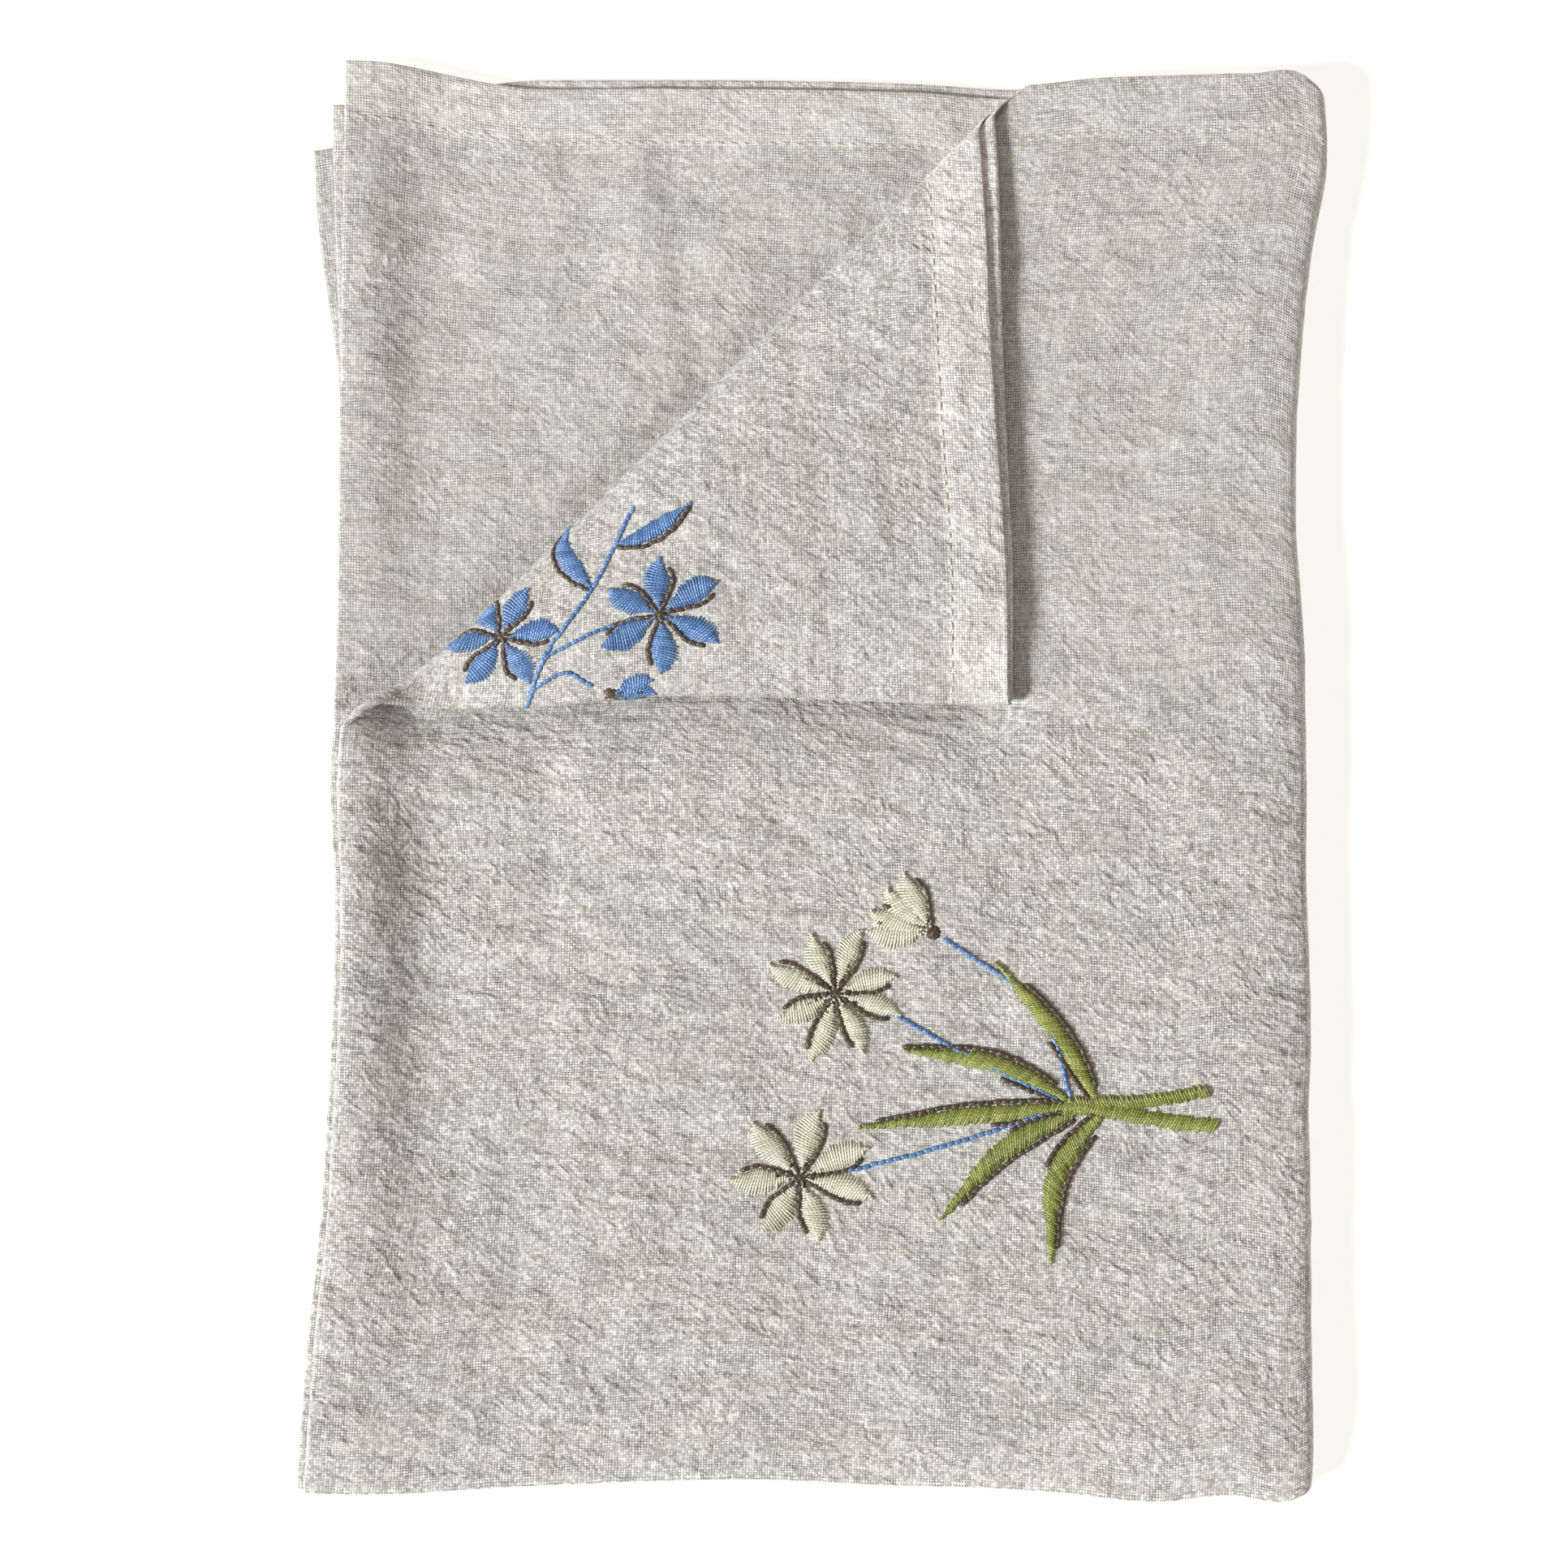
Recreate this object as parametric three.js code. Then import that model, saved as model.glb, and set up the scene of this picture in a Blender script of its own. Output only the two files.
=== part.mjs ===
import * as THREE from 'three';
import { mergeVertices } from 'three/addons/utils/BufferGeometryUtils.js';

// A tea towel of crinkled cotton and linen, folded in half across its width and in four along its length,
// with the top left corner of its upper four layers turned down. Millimetres, +Z up. X runs from the left
// crease to the right fold, Y from the bottom crease to the hems, and the underside lies on Z = 0.

// The cut and hemmed cloth, the air between two layers of it, and its colour
const LENGTH = 690;
const WIDTH = 500;
const CLOTH = 1.0;
const HEM_DEPTH = 11;
const HEM_STEP = 3;
const AIR = 0.3;
const OATMEAL = 0xc8c4bd;

// The turned-down corner: its crease is the line Y = X + FLAP_CREASE
const FLAP_CREASE = 84.6;
const FLAP_FLATNESS = 0.5;
const FLAP_TUCK = 8;
const TUCK_FROM = 0.5;
const TUCK_TO = 0.67;
const CREASE_END = 0.7;
const TIP_START = -26;
const TIP_LENGTH = 25;
const TIP_BEND = 3.5;

// Panels of the flat blank between its creases, and steps round each crease
const PANELS_ALONG = 9;
const PANELS_ACROSS = 9;
const LEFT_GRADING = 1.6;
const STEPS = { bottom: 4, left: 6, right: 6, flap: 6 };

// The two side edges, for a height from the bottom crease, 0, to the hems, 1
const SIDES = [
  { height: 0.00, left: -90.4, right: 87.8 },
  { height: 0.05, left: -89.5, right: 87.8 },
  { height: 0.12, left: -88.2, right: 87.6 },
  { height: 0.18, left: -86.8, right: 87.5 },
  { height: 0.26, left: -85.6, right: 87.2 },
  { height: 0.35, left: -84.5, right: 87.6 },
  { height: 0.42, left: -84.3, right: 86.9 },
  { height: 0.50, left: -85.2, right: 86.7 },
  { height: 0.60, left: -84.1, right: 86.4 },
  { height: 0.70, left: -83.7, right: 84.9 },
  { height: 0.80, left: -83.4, right: 85.6 },
  { height: 0.90, left: -83.1, right: 88.2 },
  { height: 0.95, left: -82.8, right: 90.4 },
  { height: 1.00, left: -82.6, right: 89.8 },
];

// The bottom crease and the hems, for a place from the left edge, 0, to the right edge, 1
const ENDS = [
  { place: 0.00, bottom: -124.9, hems: 124.3 },
  { place: 0.07, bottom: -125.2, hems: 124.3 },
  { place: 0.20, bottom: -124.0, hems: 124.2 },
  { place: 0.32, bottom: -123.1, hems: 124.2 },
  { place: 0.44, bottom: -122.6, hems: 124.1 },
  { place: 0.58, bottom: -123.7, hems: 123.5 },
  { place: 0.68, bottom: -124.2, hems: 122.7 },
  { place: 0.76, bottom: -125.2, hems: 123.8 },
  { place: 0.84, bottom: -126.7, hems: 124.2 },
  { place: 0.92, bottom: -125.3, hems: 124.6 },
  { place: 0.98, bottom: -126.2, hems: 124.2 },
  { place: 1.00, bottom: -124.4, hems: 121.0 },
];

// How each layer strays from the layers beside it, from the bottom one up: its hem along the top, its free
// top left corner up and to the left, and its hem where the crease of the turned-down corner meets it
const LAYERS = [
  { hem: -0.6, cornerUp: -11.0, cornerLeft: 4.2, creaseHem: 0 },
  { hem: -0.3, cornerUp: -11.5, cornerLeft: 5.2, creaseHem: 0 },
  { hem: 0.6, cornerUp: -4.5, cornerLeft: 1.8, creaseHem: 0 },
  { hem: -1.2, cornerUp: 5.6, cornerLeft: -0.2, creaseHem: 0 },
  { hem: 0, cornerUp: -1.0, cornerLeft: 0, creaseHem: -4.2 },
  { hem: 0, cornerUp: -1.2, cornerLeft: 0, creaseHem: -1.6 },
  { hem: 0, cornerUp: -0.8, cornerLeft: 0, creaseHem: -0.6 },
  { hem: 0, cornerUp: -1.4, cornerLeft: 0, creaseHem: 0 },
];
const CORNER_REACH = { across: 0.2, down: 0.25 };
const HEM_PULL_FROM = 0.7;

// Swells and hollows of the folded stack: middle, spread each way, and how much fuller the stack is there
const SWELLS = [
  { x: -80, y: -45, spreadX: 8, spreadY: 55, fuller: 0.07 },
  { x: -66, y: -40, spreadX: 9, spreadY: 50, fuller: -0.07 },
  { x: -70, y: 2, spreadX: 12, spreadY: 12, fuller: -0.06 },
  { x: 78, y: -20, spreadX: 14, spreadY: 90, fuller: 0.06 },
  { x: 0, y: -122, spreadX: 90, spreadY: 20, fuller: -0.16 },
  { x: -84, y: -122, spreadX: 18, spreadY: 25, fuller: -0.10 },
  { x: 20, y: -40, spreadX: 40, spreadY: 45, fuller: 0.04 },
  { x: 55, y: 70, spreadX: 18, spreadY: 35, fuller: -0.04 },
  { x: -25, y: 45, spreadX: 25, spreadY: 25, fuller: 0.04 },
];
const CREASE_PRESS = { spread: 24, fuller: -0.08 };
const HEM_LINE = 113;
const HEM_FULLER = 0.06;

// Sizes of a fold over a stack of the given half height: the new stack is twice as high, with air between
function foldOver(halfHeight) {
  const radius = halfHeight + AIR / 2;
  return { radius, quarter: (Math.PI / 2) * radius, halfHeight: radius + halfHeight };
}

const BOTTOM = foldOver(CLOTH / 2);
const LEFT = foldOver(BOTTOM.halfHeight);
const RIGHT = foldOver(LEFT.halfHeight);
const FLAP = foldOver(LEFT.halfHeight);

// Run of cloth from the left crease to the middle of the right fold, and the box of the folded stack
const LEFT_TO_RIGHT = (LENGTH / 2 - LEFT.quarter - LEFT.halfHeight) / 2;
const STACK = {
  left: RIGHT.quarter - LEFT_TO_RIGHT - LEFT.halfHeight,
  right: RIGHT.halfHeight,
  bottom: -BOTTOM.halfHeight,
  top: WIDTH / 2 - BOTTOM.quarter,
};
const FLAP_HEIGHT = 2 * RIGHT.halfHeight + AIR / 2;

const { lerp, clamp, smoothstep } = THREE.MathUtils;

// Smooth curve through one or more columns of a table
function curveThrough(rows, key, columns) {
  const places = rows.map((row) => row[key]);
  const values = rows.flatMap((row) => columns.map((column) => row[column]));
  return new THREE.CubicInterpolant(places, values, columns.length);
}

const sideCurve = curveThrough(SIDES, 'height', ['left', 'right']);
const endCurve = curveThrough(ENDS, 'place', ['bottom', 'hems']);

// Cloth that comes up to a crease, goes round it and runs back: how far it then lies from the crease, and
// how high. The distance is measured past the crease, the lift outwards from the middle of the stack.
function foldBack(distance, lift, { radius, quarter }) {
  const reach = radius + lift;
  if (distance <= -quarter) return [-distance - quarter, reach];
  if (distance >= quarter) return [distance - quarter, -reach];
  const turn = distance / radius;
  return [-reach * Math.cos(turn), -reach * Math.sin(turn)];
}

// A point of the flat cloth in the straight folded stack, before its edges stray
function inStack(along, across, lift) {
  const [y, pairHeight] = foldBack(across - WIDTH / 2, lift, BOTTOM);
  const [run, fourHeight] = foldBack(LENGTH / 2 - along, pairHeight, LEFT);
  const [back, height] = foldBack(run - LEFT_TO_RIGHT, fourHeight, RIGHT);
  return { x: -back, y, z: height + RIGHT.halfHeight, upper: run < LEFT_TO_RIGHT };
}

// How the layers at a height in the stack stray, blended between a layer and the next
function strayAt(z) {
  const layer = clamp((z - CLOTH / 2) / (CLOTH + AIR), 0, LAYERS.length - 1);
  const below = LAYERS[Math.floor(layer)];
  const above = LAYERS[Math.ceil(layer)];
  const share = layer - Math.floor(layer);
  return Object.fromEntries(Object.keys(below).map((key) => [key, lerp(below[key], above[key], share)]));
}

// The stack's straight box drawn out to the towel's own edges, each layer straying a little by itself
function strayed({ x, y, z, upper }) {
  const place = (x - STACK.left) / (STACK.right - STACK.left);
  const height = (y - STACK.bottom) / (STACK.top - STACK.bottom);
  const [left, right] = sideCurve.evaluate(clamp(height, 0, 1));
  const [bottom, hems] = endCurve.evaluate(clamp(place, 0, 1));
  const stray = strayAt(z);
  const nearCorner = 1 - smoothstep(place, 0, CORNER_REACH.across);
  const nearHem = smoothstep(height, HEM_PULL_FROM, 1);
  const nearTop = smoothstep(height, 1 - CORNER_REACH.down, 1);
  const nearCrease = Math.min(place / CREASE_END, 1) * (1 - smoothstep(place, CREASE_END, 1));
  const tuck = upper ? FLAP_TUCK * smoothstep(height, TUCK_FROM, TUCK_TO) * (1 - place) ** 2 : 0;
  const up = nearHem * (stray.hem + stray.cornerUp * nearCorner + stray.creaseHem * nearCrease);
  return {
    x: lerp(left, right, place) + tuck - stray.cornerLeft * nearCorner * nearTop,
    y: lerp(bottom, hems, height) + up,
    z,
    upper,
  };
}

// How far a point lies past the crease of the turned-down corner, and where along that crease. The crease
// bends towards the edge at its lower left tip.
function pastCrease({ x, y }) {
  const along = (x + y) / Math.SQRT2;
  const bend = TIP_BEND * clamp((TIP_START - along) / TIP_LENGTH, 0, 1) ** 2;
  return { along, bend, past: (y - x - FLAP_CREASE) / Math.SQRT2 - bend };
}

// The corner of the upper four layers turned over its crease, to lie on the stack
function turnedDown(point) {
  if (!point.upper) return point;
  const { along, past, bend } = pastCrease(point);
  const lift = FLAP_HEIGHT - point.z - FLAP.radius;
  const [back, height] = foldBack(past - FLAP.quarter, lift, FLAP);
  const turned = (back < 0 ? -back * FLAP_FLATNESS : -back) + bend;
  const across = turned * Math.SQRT2 + FLAP_CREASE;
  const sum = along * Math.SQRT2;
  return { x: (sum - across) / 2, y: (sum + across) / 2, z: FLAP_HEIGHT - height };
}

// Swells and hollows raise or press the whole stack, and leave its underside flat
function swelled({ x, y, z }) {
  const { past } = pastCrease({ x, y });
  let fuller = 1 + CREASE_PRESS.fuller * Math.exp(-((past / CREASE_PRESS.spread) ** 2));
  fuller += HEM_FULLER * smoothstep(y, HEM_LINE - HEM_STEP, HEM_LINE);
  for (const swell of SWELLS) {
    const away = ((x - swell.x) / swell.spreadX) ** 2 + ((y - swell.y) / swell.spreadY) ** 2;
    fuller += swell.fuller * Math.exp(-away);
  }
  return { x, y, z: z * fuller };
}

// Places along a stretch, from its start to its end
function spread(from, to, count, grading = 1) {
  return Array.from({ length: count }, (_, step) => lerp(from, to, ((step + 1) / count) ** grading));
}

// Lines of the blank to one side of its middle, mirrored to the other side
function mirrored(middle, arcSteps, quarter, outer) {
  const arc = spread(-quarter, quarter, arcSteps).slice(0, -1);
  const before = outer.map((offset) => middle - offset).reverse();
  const after = outer.map((offset) => middle + offset);
  return [...before, middle - quarter, ...arc.map((offset) => middle + offset), middle + quarter, ...after];
}

// Lines across the length: both upper panels start at the left crease, and both lower ones lie under them
function linesAlong() {
  const upperEnd = LEFT.quarter + LEFT_TO_RIGHT - RIGHT.quarter;
  const lowerStart = LEFT.quarter + LEFT_TO_RIGHT + RIGHT.quarter;
  const upper = spread(LEFT.quarter, upperEnd, PANELS_ALONG, LEFT_GRADING);
  const turn = spread(upperEnd, lowerStart, STEPS.right);
  const lower = upper.slice(0, -1).reverse().map((offset) => lowerStart + upperEnd - offset);
  const leftEnd = lowerStart + upperEnd - LEFT.quarter;
  return mirrored(LENGTH / 2, STEPS.left, LEFT.quarter, [...upper, ...turn, ...lower, leftEnd, LENGTH / 2]);
}

// Lines across the width, the last two along each hem
function linesAcross() {
  const hemStart = WIDTH / 2 - HEM_DEPTH - HEM_STEP;
  const panels = spread(BOTTOM.quarter, hemStart, PANELS_ACROSS);
  return mirrored(WIDTH / 2, STEPS.bottom, BOTTOM.quarter, [...panels, hemStart + HEM_STEP, WIDTH / 2]);
}

// The flat blank, its panels parted at the lines where the cloth will crease
function flatBlank() {
  const along = linesAlong();
  const across = linesAcross();
  const columns = along.length - 1;
  const rows = across.length - 1;
  const box = new THREE.BoxGeometry(columns, rows, 1, columns, rows, 1);
  box.deleteAttribute('normal');
  box.deleteAttribute('uv');
  const blank = mergeVertices(box);
  const points = [];
  for (let i = 0; i < blank.attributes.position.count; i += 1) {
    const column = Math.round(blank.attributes.position.getX(i) + columns / 2);
    const row = Math.round(rows / 2 - blank.attributes.position.getY(i));
    const side = Math.sign(blank.attributes.position.getZ(i));
    points.push({ along: along[column], across: across[row], lift: (side * CLOTH) / 2 });
  }
  const index = Array.from(blank.index.array);
  const triangles = [];
  for (let i = 0; i < index.length; i += 3) triangles.push(index.slice(i, i + 3));
  return { points, triangles };
}

// Distance past the turned-down corner's crease, for a point of the flat blank
function pastCreaseOnBlank({ along, across }) {
  const point = strayed(inStack(along, across, 0));
  return point.upper ? pastCrease(point).past : -LENGTH;
}

// Parts every triangle of the blank along lines that run beside the flap's crease
function partedAlong(levels, { points, triangles }) {
  const past = points.map(pastCreaseOnBlank);
  const cuts = new Map();
  const cutAt = (from, to, level) => {
    const key = [Math.min(from, to), Math.max(from, to), level].join(' ');
    if (!cuts.has(key)) {
      const share = (level - past[from]) / (past[to] - past[from]);
      const cut = {};
      for (const name of Object.keys(points[from])) cut[name] = lerp(points[from][name], points[to][name], share);
      cuts.set(key, points.push(cut) - 1);
    }
    return cuts.get(key);
  };
  const edges = [-Infinity, ...levels, Infinity];
  const parted = [];
  for (const triangle of triangles) {
    const rim = [];
    triangle.forEach((corner, i) => {
      const next = triangle[(i + 1) % 3];
      const crossed = levels.filter((level) => (level - past[corner]) * (level - past[next]) < 0);
      if (past[next] < past[corner]) crossed.reverse();
      rim.push({ point: corner, at: past[corner] });
      for (const level of crossed) rim.push({ point: cutAt(corner, next, level), at: level });
    });
    for (let band = 1; band < edges.length; band += 1) {
      const face = rim.filter(({ at }) => at >= edges[band - 1] && at <= edges[band]);
      for (let i = 2; i < face.length; i += 1) {
        parted.push([face[0].point, face[i - 1].point, face[i].point]);
      }
    }
  }
  return { points, triangles: parted };
}

// The folded towel as one closed solid
function towelGeometry() {
  const blank = partedAlong([0, ...spread(0, 2 * FLAP.quarter, STEPS.flap)], flatBlank());
  const folded = blank.points.map(({ along, across, lift }) => {
    const { x, y, z } = swelled(turnedDown(strayed(inStack(along, across, lift))));
    return new THREE.Vector3(x, y, z);
  });
  const geometry = new THREE.BufferGeometry().setFromPoints(folded);
  geometry.setIndex(blank.triangles.flat());
  geometry.computeVertexNormals();
  return geometry;
}

const towel = new THREE.Mesh(
  towelGeometry(),
  new THREE.MeshStandardMaterial({ color: OATMEAL, roughness: 0.95, metalness: 0 }),
);
towel.name = 'towel';

const group = new THREE.Group();
group.add(towel);

export default group;
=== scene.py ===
"""Dresses the folded tea towel: cloth on its folds, hem stitches, embroidered sprigs and a plain studio."""
import logging
import math
from dataclasses import dataclass, field
from enum import Enum
from typing import Any, Sequence

import bpy
import numpy as np
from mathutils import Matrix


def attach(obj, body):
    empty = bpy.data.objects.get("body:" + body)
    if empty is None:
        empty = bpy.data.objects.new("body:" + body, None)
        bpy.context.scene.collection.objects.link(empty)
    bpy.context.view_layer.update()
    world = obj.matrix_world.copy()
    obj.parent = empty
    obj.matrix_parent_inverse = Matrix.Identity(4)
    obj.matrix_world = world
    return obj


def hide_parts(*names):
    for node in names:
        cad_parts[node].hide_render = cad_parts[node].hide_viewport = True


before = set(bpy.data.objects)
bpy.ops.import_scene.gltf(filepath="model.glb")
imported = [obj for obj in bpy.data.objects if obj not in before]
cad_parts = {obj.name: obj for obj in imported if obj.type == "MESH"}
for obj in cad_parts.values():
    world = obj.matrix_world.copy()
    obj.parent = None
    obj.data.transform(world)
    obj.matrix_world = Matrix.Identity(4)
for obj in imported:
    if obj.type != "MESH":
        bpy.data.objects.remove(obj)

LOG = logging.getLogger("tea_towel")
Array = np.ndarray
Colour = tuple[float, float, float]
Point = tuple[float, float]

# Sizes below are in millimetres, and meshes are made in metres.
MM = 0.001
ROOT_TWO = math.sqrt(2.0)


def smooth_step(value: Array, low: float, high: float) -> Array:
    """Eases from 0 at one value to 1 at another.

    Args:
        value: The values to ease.
        low: The value that gives 0.
        high: The value that gives 1.

    Returns:
        The eased shares.
    """
    share = np.clip((value - low) / (high - low), 0.0, 1.0)
    return share * share * (3.0 - 2.0 * share)


def bell(distance: Array, spread: Array | float) -> Array:
    """Falls softly from 1 at no distance to about a third at the spread."""
    return np.exp(-((distance / spread) ** 2))


def smooth_curve(knots: Array, values: Array, at: Array) -> Array:
    """Reads a soft curve through a few knots, level past its ends.

    Args:
        knots: Where the curve is given, rising.
        values: What it has there.
        at: Where to read it.

    Returns:
        The curve's values.
    """
    slopes = np.gradient(values, knots)
    span = np.clip(np.searchsorted(knots, at, side="right") - 1, 0, len(knots) - 2)
    width = knots[span + 1] - knots[span]
    share = np.clip((at - knots[span]) / width, 0.0, 1.0)
    rest = 1.0 - share
    ends = values[span] * (1.0 + 2.0 * share) * rest**2
    ends = ends + values[span + 1] * (3.0 - 2.0 * share) * share**2
    return ends + width * share * rest * (slopes[span] * rest - slopes[span + 1] * share)


@dataclass(frozen=True)
class Fold:
    """A soft edge round which a pile of cloth is folded back on itself.

    Attributes:
        pile_half: Half the pile's height before the fold.
        air: The space left between the two halves.
    """

    pile_half: float
    air: float

    @property
    def radius(self) -> float:
        """The radius on which the pile's middle turns."""
        return self.pile_half + self.air / 2

    @property
    def quarter(self) -> float:
        """The length of the pile's middle in a quarter turn."""
        return math.pi / 2 * self.radius

    @property
    def half_height(self) -> float:
        """Half the height of the folded pile."""
        return self.radius + self.pile_half

    def back(self, distance: Array, lift: Array) -> tuple[Array, Array]:
        """Folds points of the pile back.

        Args:
            distance: How far each point lies past the fold's line.
            lift: How far it lies above the pile's middle.

        Returns:
            How far each point comes to lie back from the fold, and its height in the folded pile.
        """
        reach = self.radius + lift
        turn = np.clip(distance / self.radius, -math.pi / 2, math.pi / 2)
        past = np.abs(distance) - self.quarter
        away = np.where(past > 0.0, past, -reach * np.cos(turn))
        return away, -reach * np.sin(turn)


@dataclass(frozen=True)
class Crease:
    """A soft ridge or trough in the stack, along a straight line seen from above.

    Attributes:
        start: One end, in X and Y.
        end: The other end.
        spread: How far to the side it fades.
        fuller: How much higher the stack is there, as a share of its height, below 0 for a trough.
    """

    start: Point
    end: Point
    spread: float
    fuller: float

    def share(self, x: Array, y: Array) -> Array:
        """Reads the crease at points seen from above.

        Args:
            x: The points' X.
            y: The points' Y.

        Returns:
            How much higher the stack is at each point, as a share of its height.
        """
        run_x = self.end[0] - self.start[0]
        run_y = self.end[1] - self.start[1]
        place = ((x - self.start[0]) * run_x + (y - self.start[1]) * run_y) / (run_x**2 + run_y**2)
        place = np.clip(place, 0.0, 1.0)
        away = (x - self.start[0] - place * run_x) ** 2 + (y - self.start[1] - place * run_y) ** 2
        return self.fuller * np.exp(-away / self.spread**2)


@dataclass(frozen=True)
class Crinkle:
    """The small washed-in wrinkles of the cloth, as a repeatable random relief seen from above.

    Attributes:
        seed: The start of the random draw.
        long: How far a wrinkle runs, as the spread of a soft brush.
        short: How wide it is.
        lean: The angle of its run from X, in degrees.
        height: The relief's usual height.
        half_side: Half the side of a square of relief.
    """

    seed: int
    long: float
    short: float
    lean: float
    height: float
    half_side: int = 160

    def relief(self, squares: int) -> Array:
        """Draws squares of relief, at a point to a millimetre.

        Args:
            squares: How many to draw.

        Returns:
            The heights, by square, Y and X.
        """
        side = 2 * self.half_side
        noise = np.random.default_rng(self.seed).normal(size=(squares, side, side))
        rate = np.fft.fftfreq(side)
        turn = math.radians(self.lean)
        with_run = rate[None, :] * math.cos(turn) + rate[:, None] * math.sin(turn)
        across_run = rate[:, None] * math.cos(turn) - rate[None, :] * math.sin(turn)
        reach = (self.long * with_run) ** 2 + (self.short * across_run) ** 2
        brush = np.exp(-2.0 * math.pi**2 * reach)
        brush[0, 0] = 0.0
        drawn = np.real(np.fft.ifft2(np.fft.fft2(noise) * brush))
        return self.height * drawn / drawn.std()

    def rise(self, relief: Array, square: Array, x: Array, y: Array) -> Array:
        """Reads the relief between its points.

        Args:
            relief: What relief() drew.
            square: The square that each point lies in.
            x: The points' X.
            y: The points' Y.

        Returns:
            How far the cloth rises at each point.
        """
        side = 2 * self.half_side
        column = np.clip(x + self.half_side, 0.0, side - 2.0)
        row = np.clip(y + self.half_side, 0.0, side - 2.0)
        left = column.astype(int)
        low = row.astype(int)
        right_share = column - left
        high_share = row - low
        lower, upper = (
            relief[square, line, left] * (1 - right_share) + relief[square, line, left + 1] * right_share
            for line in (low, low + 1)
        )
        return lower * (1 - high_share) + upper * high_share


# The left and right edges of the stack in X, by height from the bottom crease at 0 to the hems at 1.
SIDES = np.array([
    # height, left, right
    (0.00, -90.3, 87.8), (0.05, -89.3, 87.8), (0.12, -87.8, 87.6), (0.18, -86.2, 87.5), (0.26, -84.8, 87.2),
    (0.35, -83.6, 87.6), (0.42, -83.3, 86.9), (0.50, -84.2, 86.7), (0.60, -83.1, 86.4), (0.70, -82.7, 84.9),
    (0.80, -82.4, 85.6), (0.90, -82.3, 88.2), (0.95, -82.2, 90.4), (1.00, -82.2, 89.8),
])

# The bottom crease and the hems in Y, by place from the left edge at 0 to the right edge at 1.
ENDS = np.array([
    # place, bottom, hems
    (0.00, -124.9, 124.3), (0.07, -125.2, 124.3), (0.20, -124.0, 124.2), (0.32, -123.1, 124.2),
    (0.44, -122.6, 124.1), (0.58, -123.7, 123.5), (0.68, -124.2, 122.7), (0.76, -125.2, 123.8),
    (0.84, -126.7, 124.2), (0.92, -125.3, 124.6), (0.98, -126.2, 124.2), (1.00, -124.4, 121.0),
])

# How far each layer's hem strays from the stack, from the lowest layer to the topmost.
LAYERS = np.array([
    # hem, corner_up, corner_left, crease_hem
    (-0.6, -11.0, 4.2, 0.0), (-0.3, -11.5, 5.2, 0.0), (0.6, -4.5, 1.8, 0.0), (-1.2, 4.8, -0.6, 0.0),
    (0.0, -1.0, 0.0, -3.4), (0.0, -1.2, 0.0, -0.2), (0.0, -0.8, 0.0, 0.0), (0.0, -1.4, 0.0, 0.2),
])

# Where the whole stack is fuller or flatter, as a share of its height.
SWELLS = np.array([
    # x, y, spread_x, spread_y, fuller
    # the right fold, rounder towards its edge
    (78, -20, 14, 90, 0.04), (89, -10, 6.5, 130, -0.17), (55, 70, 18, 35, -0.04),
    # the bottom crease, pressed thin
    (0, -132, 140, 13, -0.55),
    # the soft field of the front
    (-50, -2, 5, 7, -0.06), (-29, -68, 15, 32, 0.05), (-53, -92, 5, 20, -0.05), (20, -40, 40, 45, 0.04),
    (-25, 45, 25, 25, 0.04),
])

# The roll beside the left crease and the trough at its foot, as a share of the stack's height by X.
ROLL = np.array([
    # x, fuller
    (-92, 0.12), (-85, 0.15), (-82.5, 0.182), (-80, 0.185), (-78, 0.15), (-76, 0.08), (-74, -0.015),
    (-72, -0.115), (-70, -0.18), (-67, -0.21), (-60, -0.185), (-50, -0.135), (-40, -0.09), (-20, -0.02),
    (0, 0.0), (20, 0.0),
])

# How strong that roll is, by Y from the bottom crease to the hems.
ROLL_STRENGTH = np.array([
    # y, strength
    (-126, 0.0), (-110, 0.2), (-90, 0.4), (-70, 0.7), (-45, 0.9), (-25, 1.05), (-8, 1.15), (-3, 0.8),
    (0.5, 0.4), (4, 0.65), (8, 1.0), (12, 1.25), (16, 1.0), (22, 0.55), (40, 0.6), (60, 1.0), (85, 1.35),
    (105, 1.0), (124, 0.5),
])

# The flap's lower edge.
FLAP_EDGE = np.array([
    # x, y
    (-84, 13.3), (-66, 13.5), (-58, 13.4), (-50, 13.6), (-42, 14.1), (-34, 14.9), (-26, 15.4), (-18, 15.5),
    (-2, 15.0), (14, 14.3), (30, 13.9), (45, 13.7),
])

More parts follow.
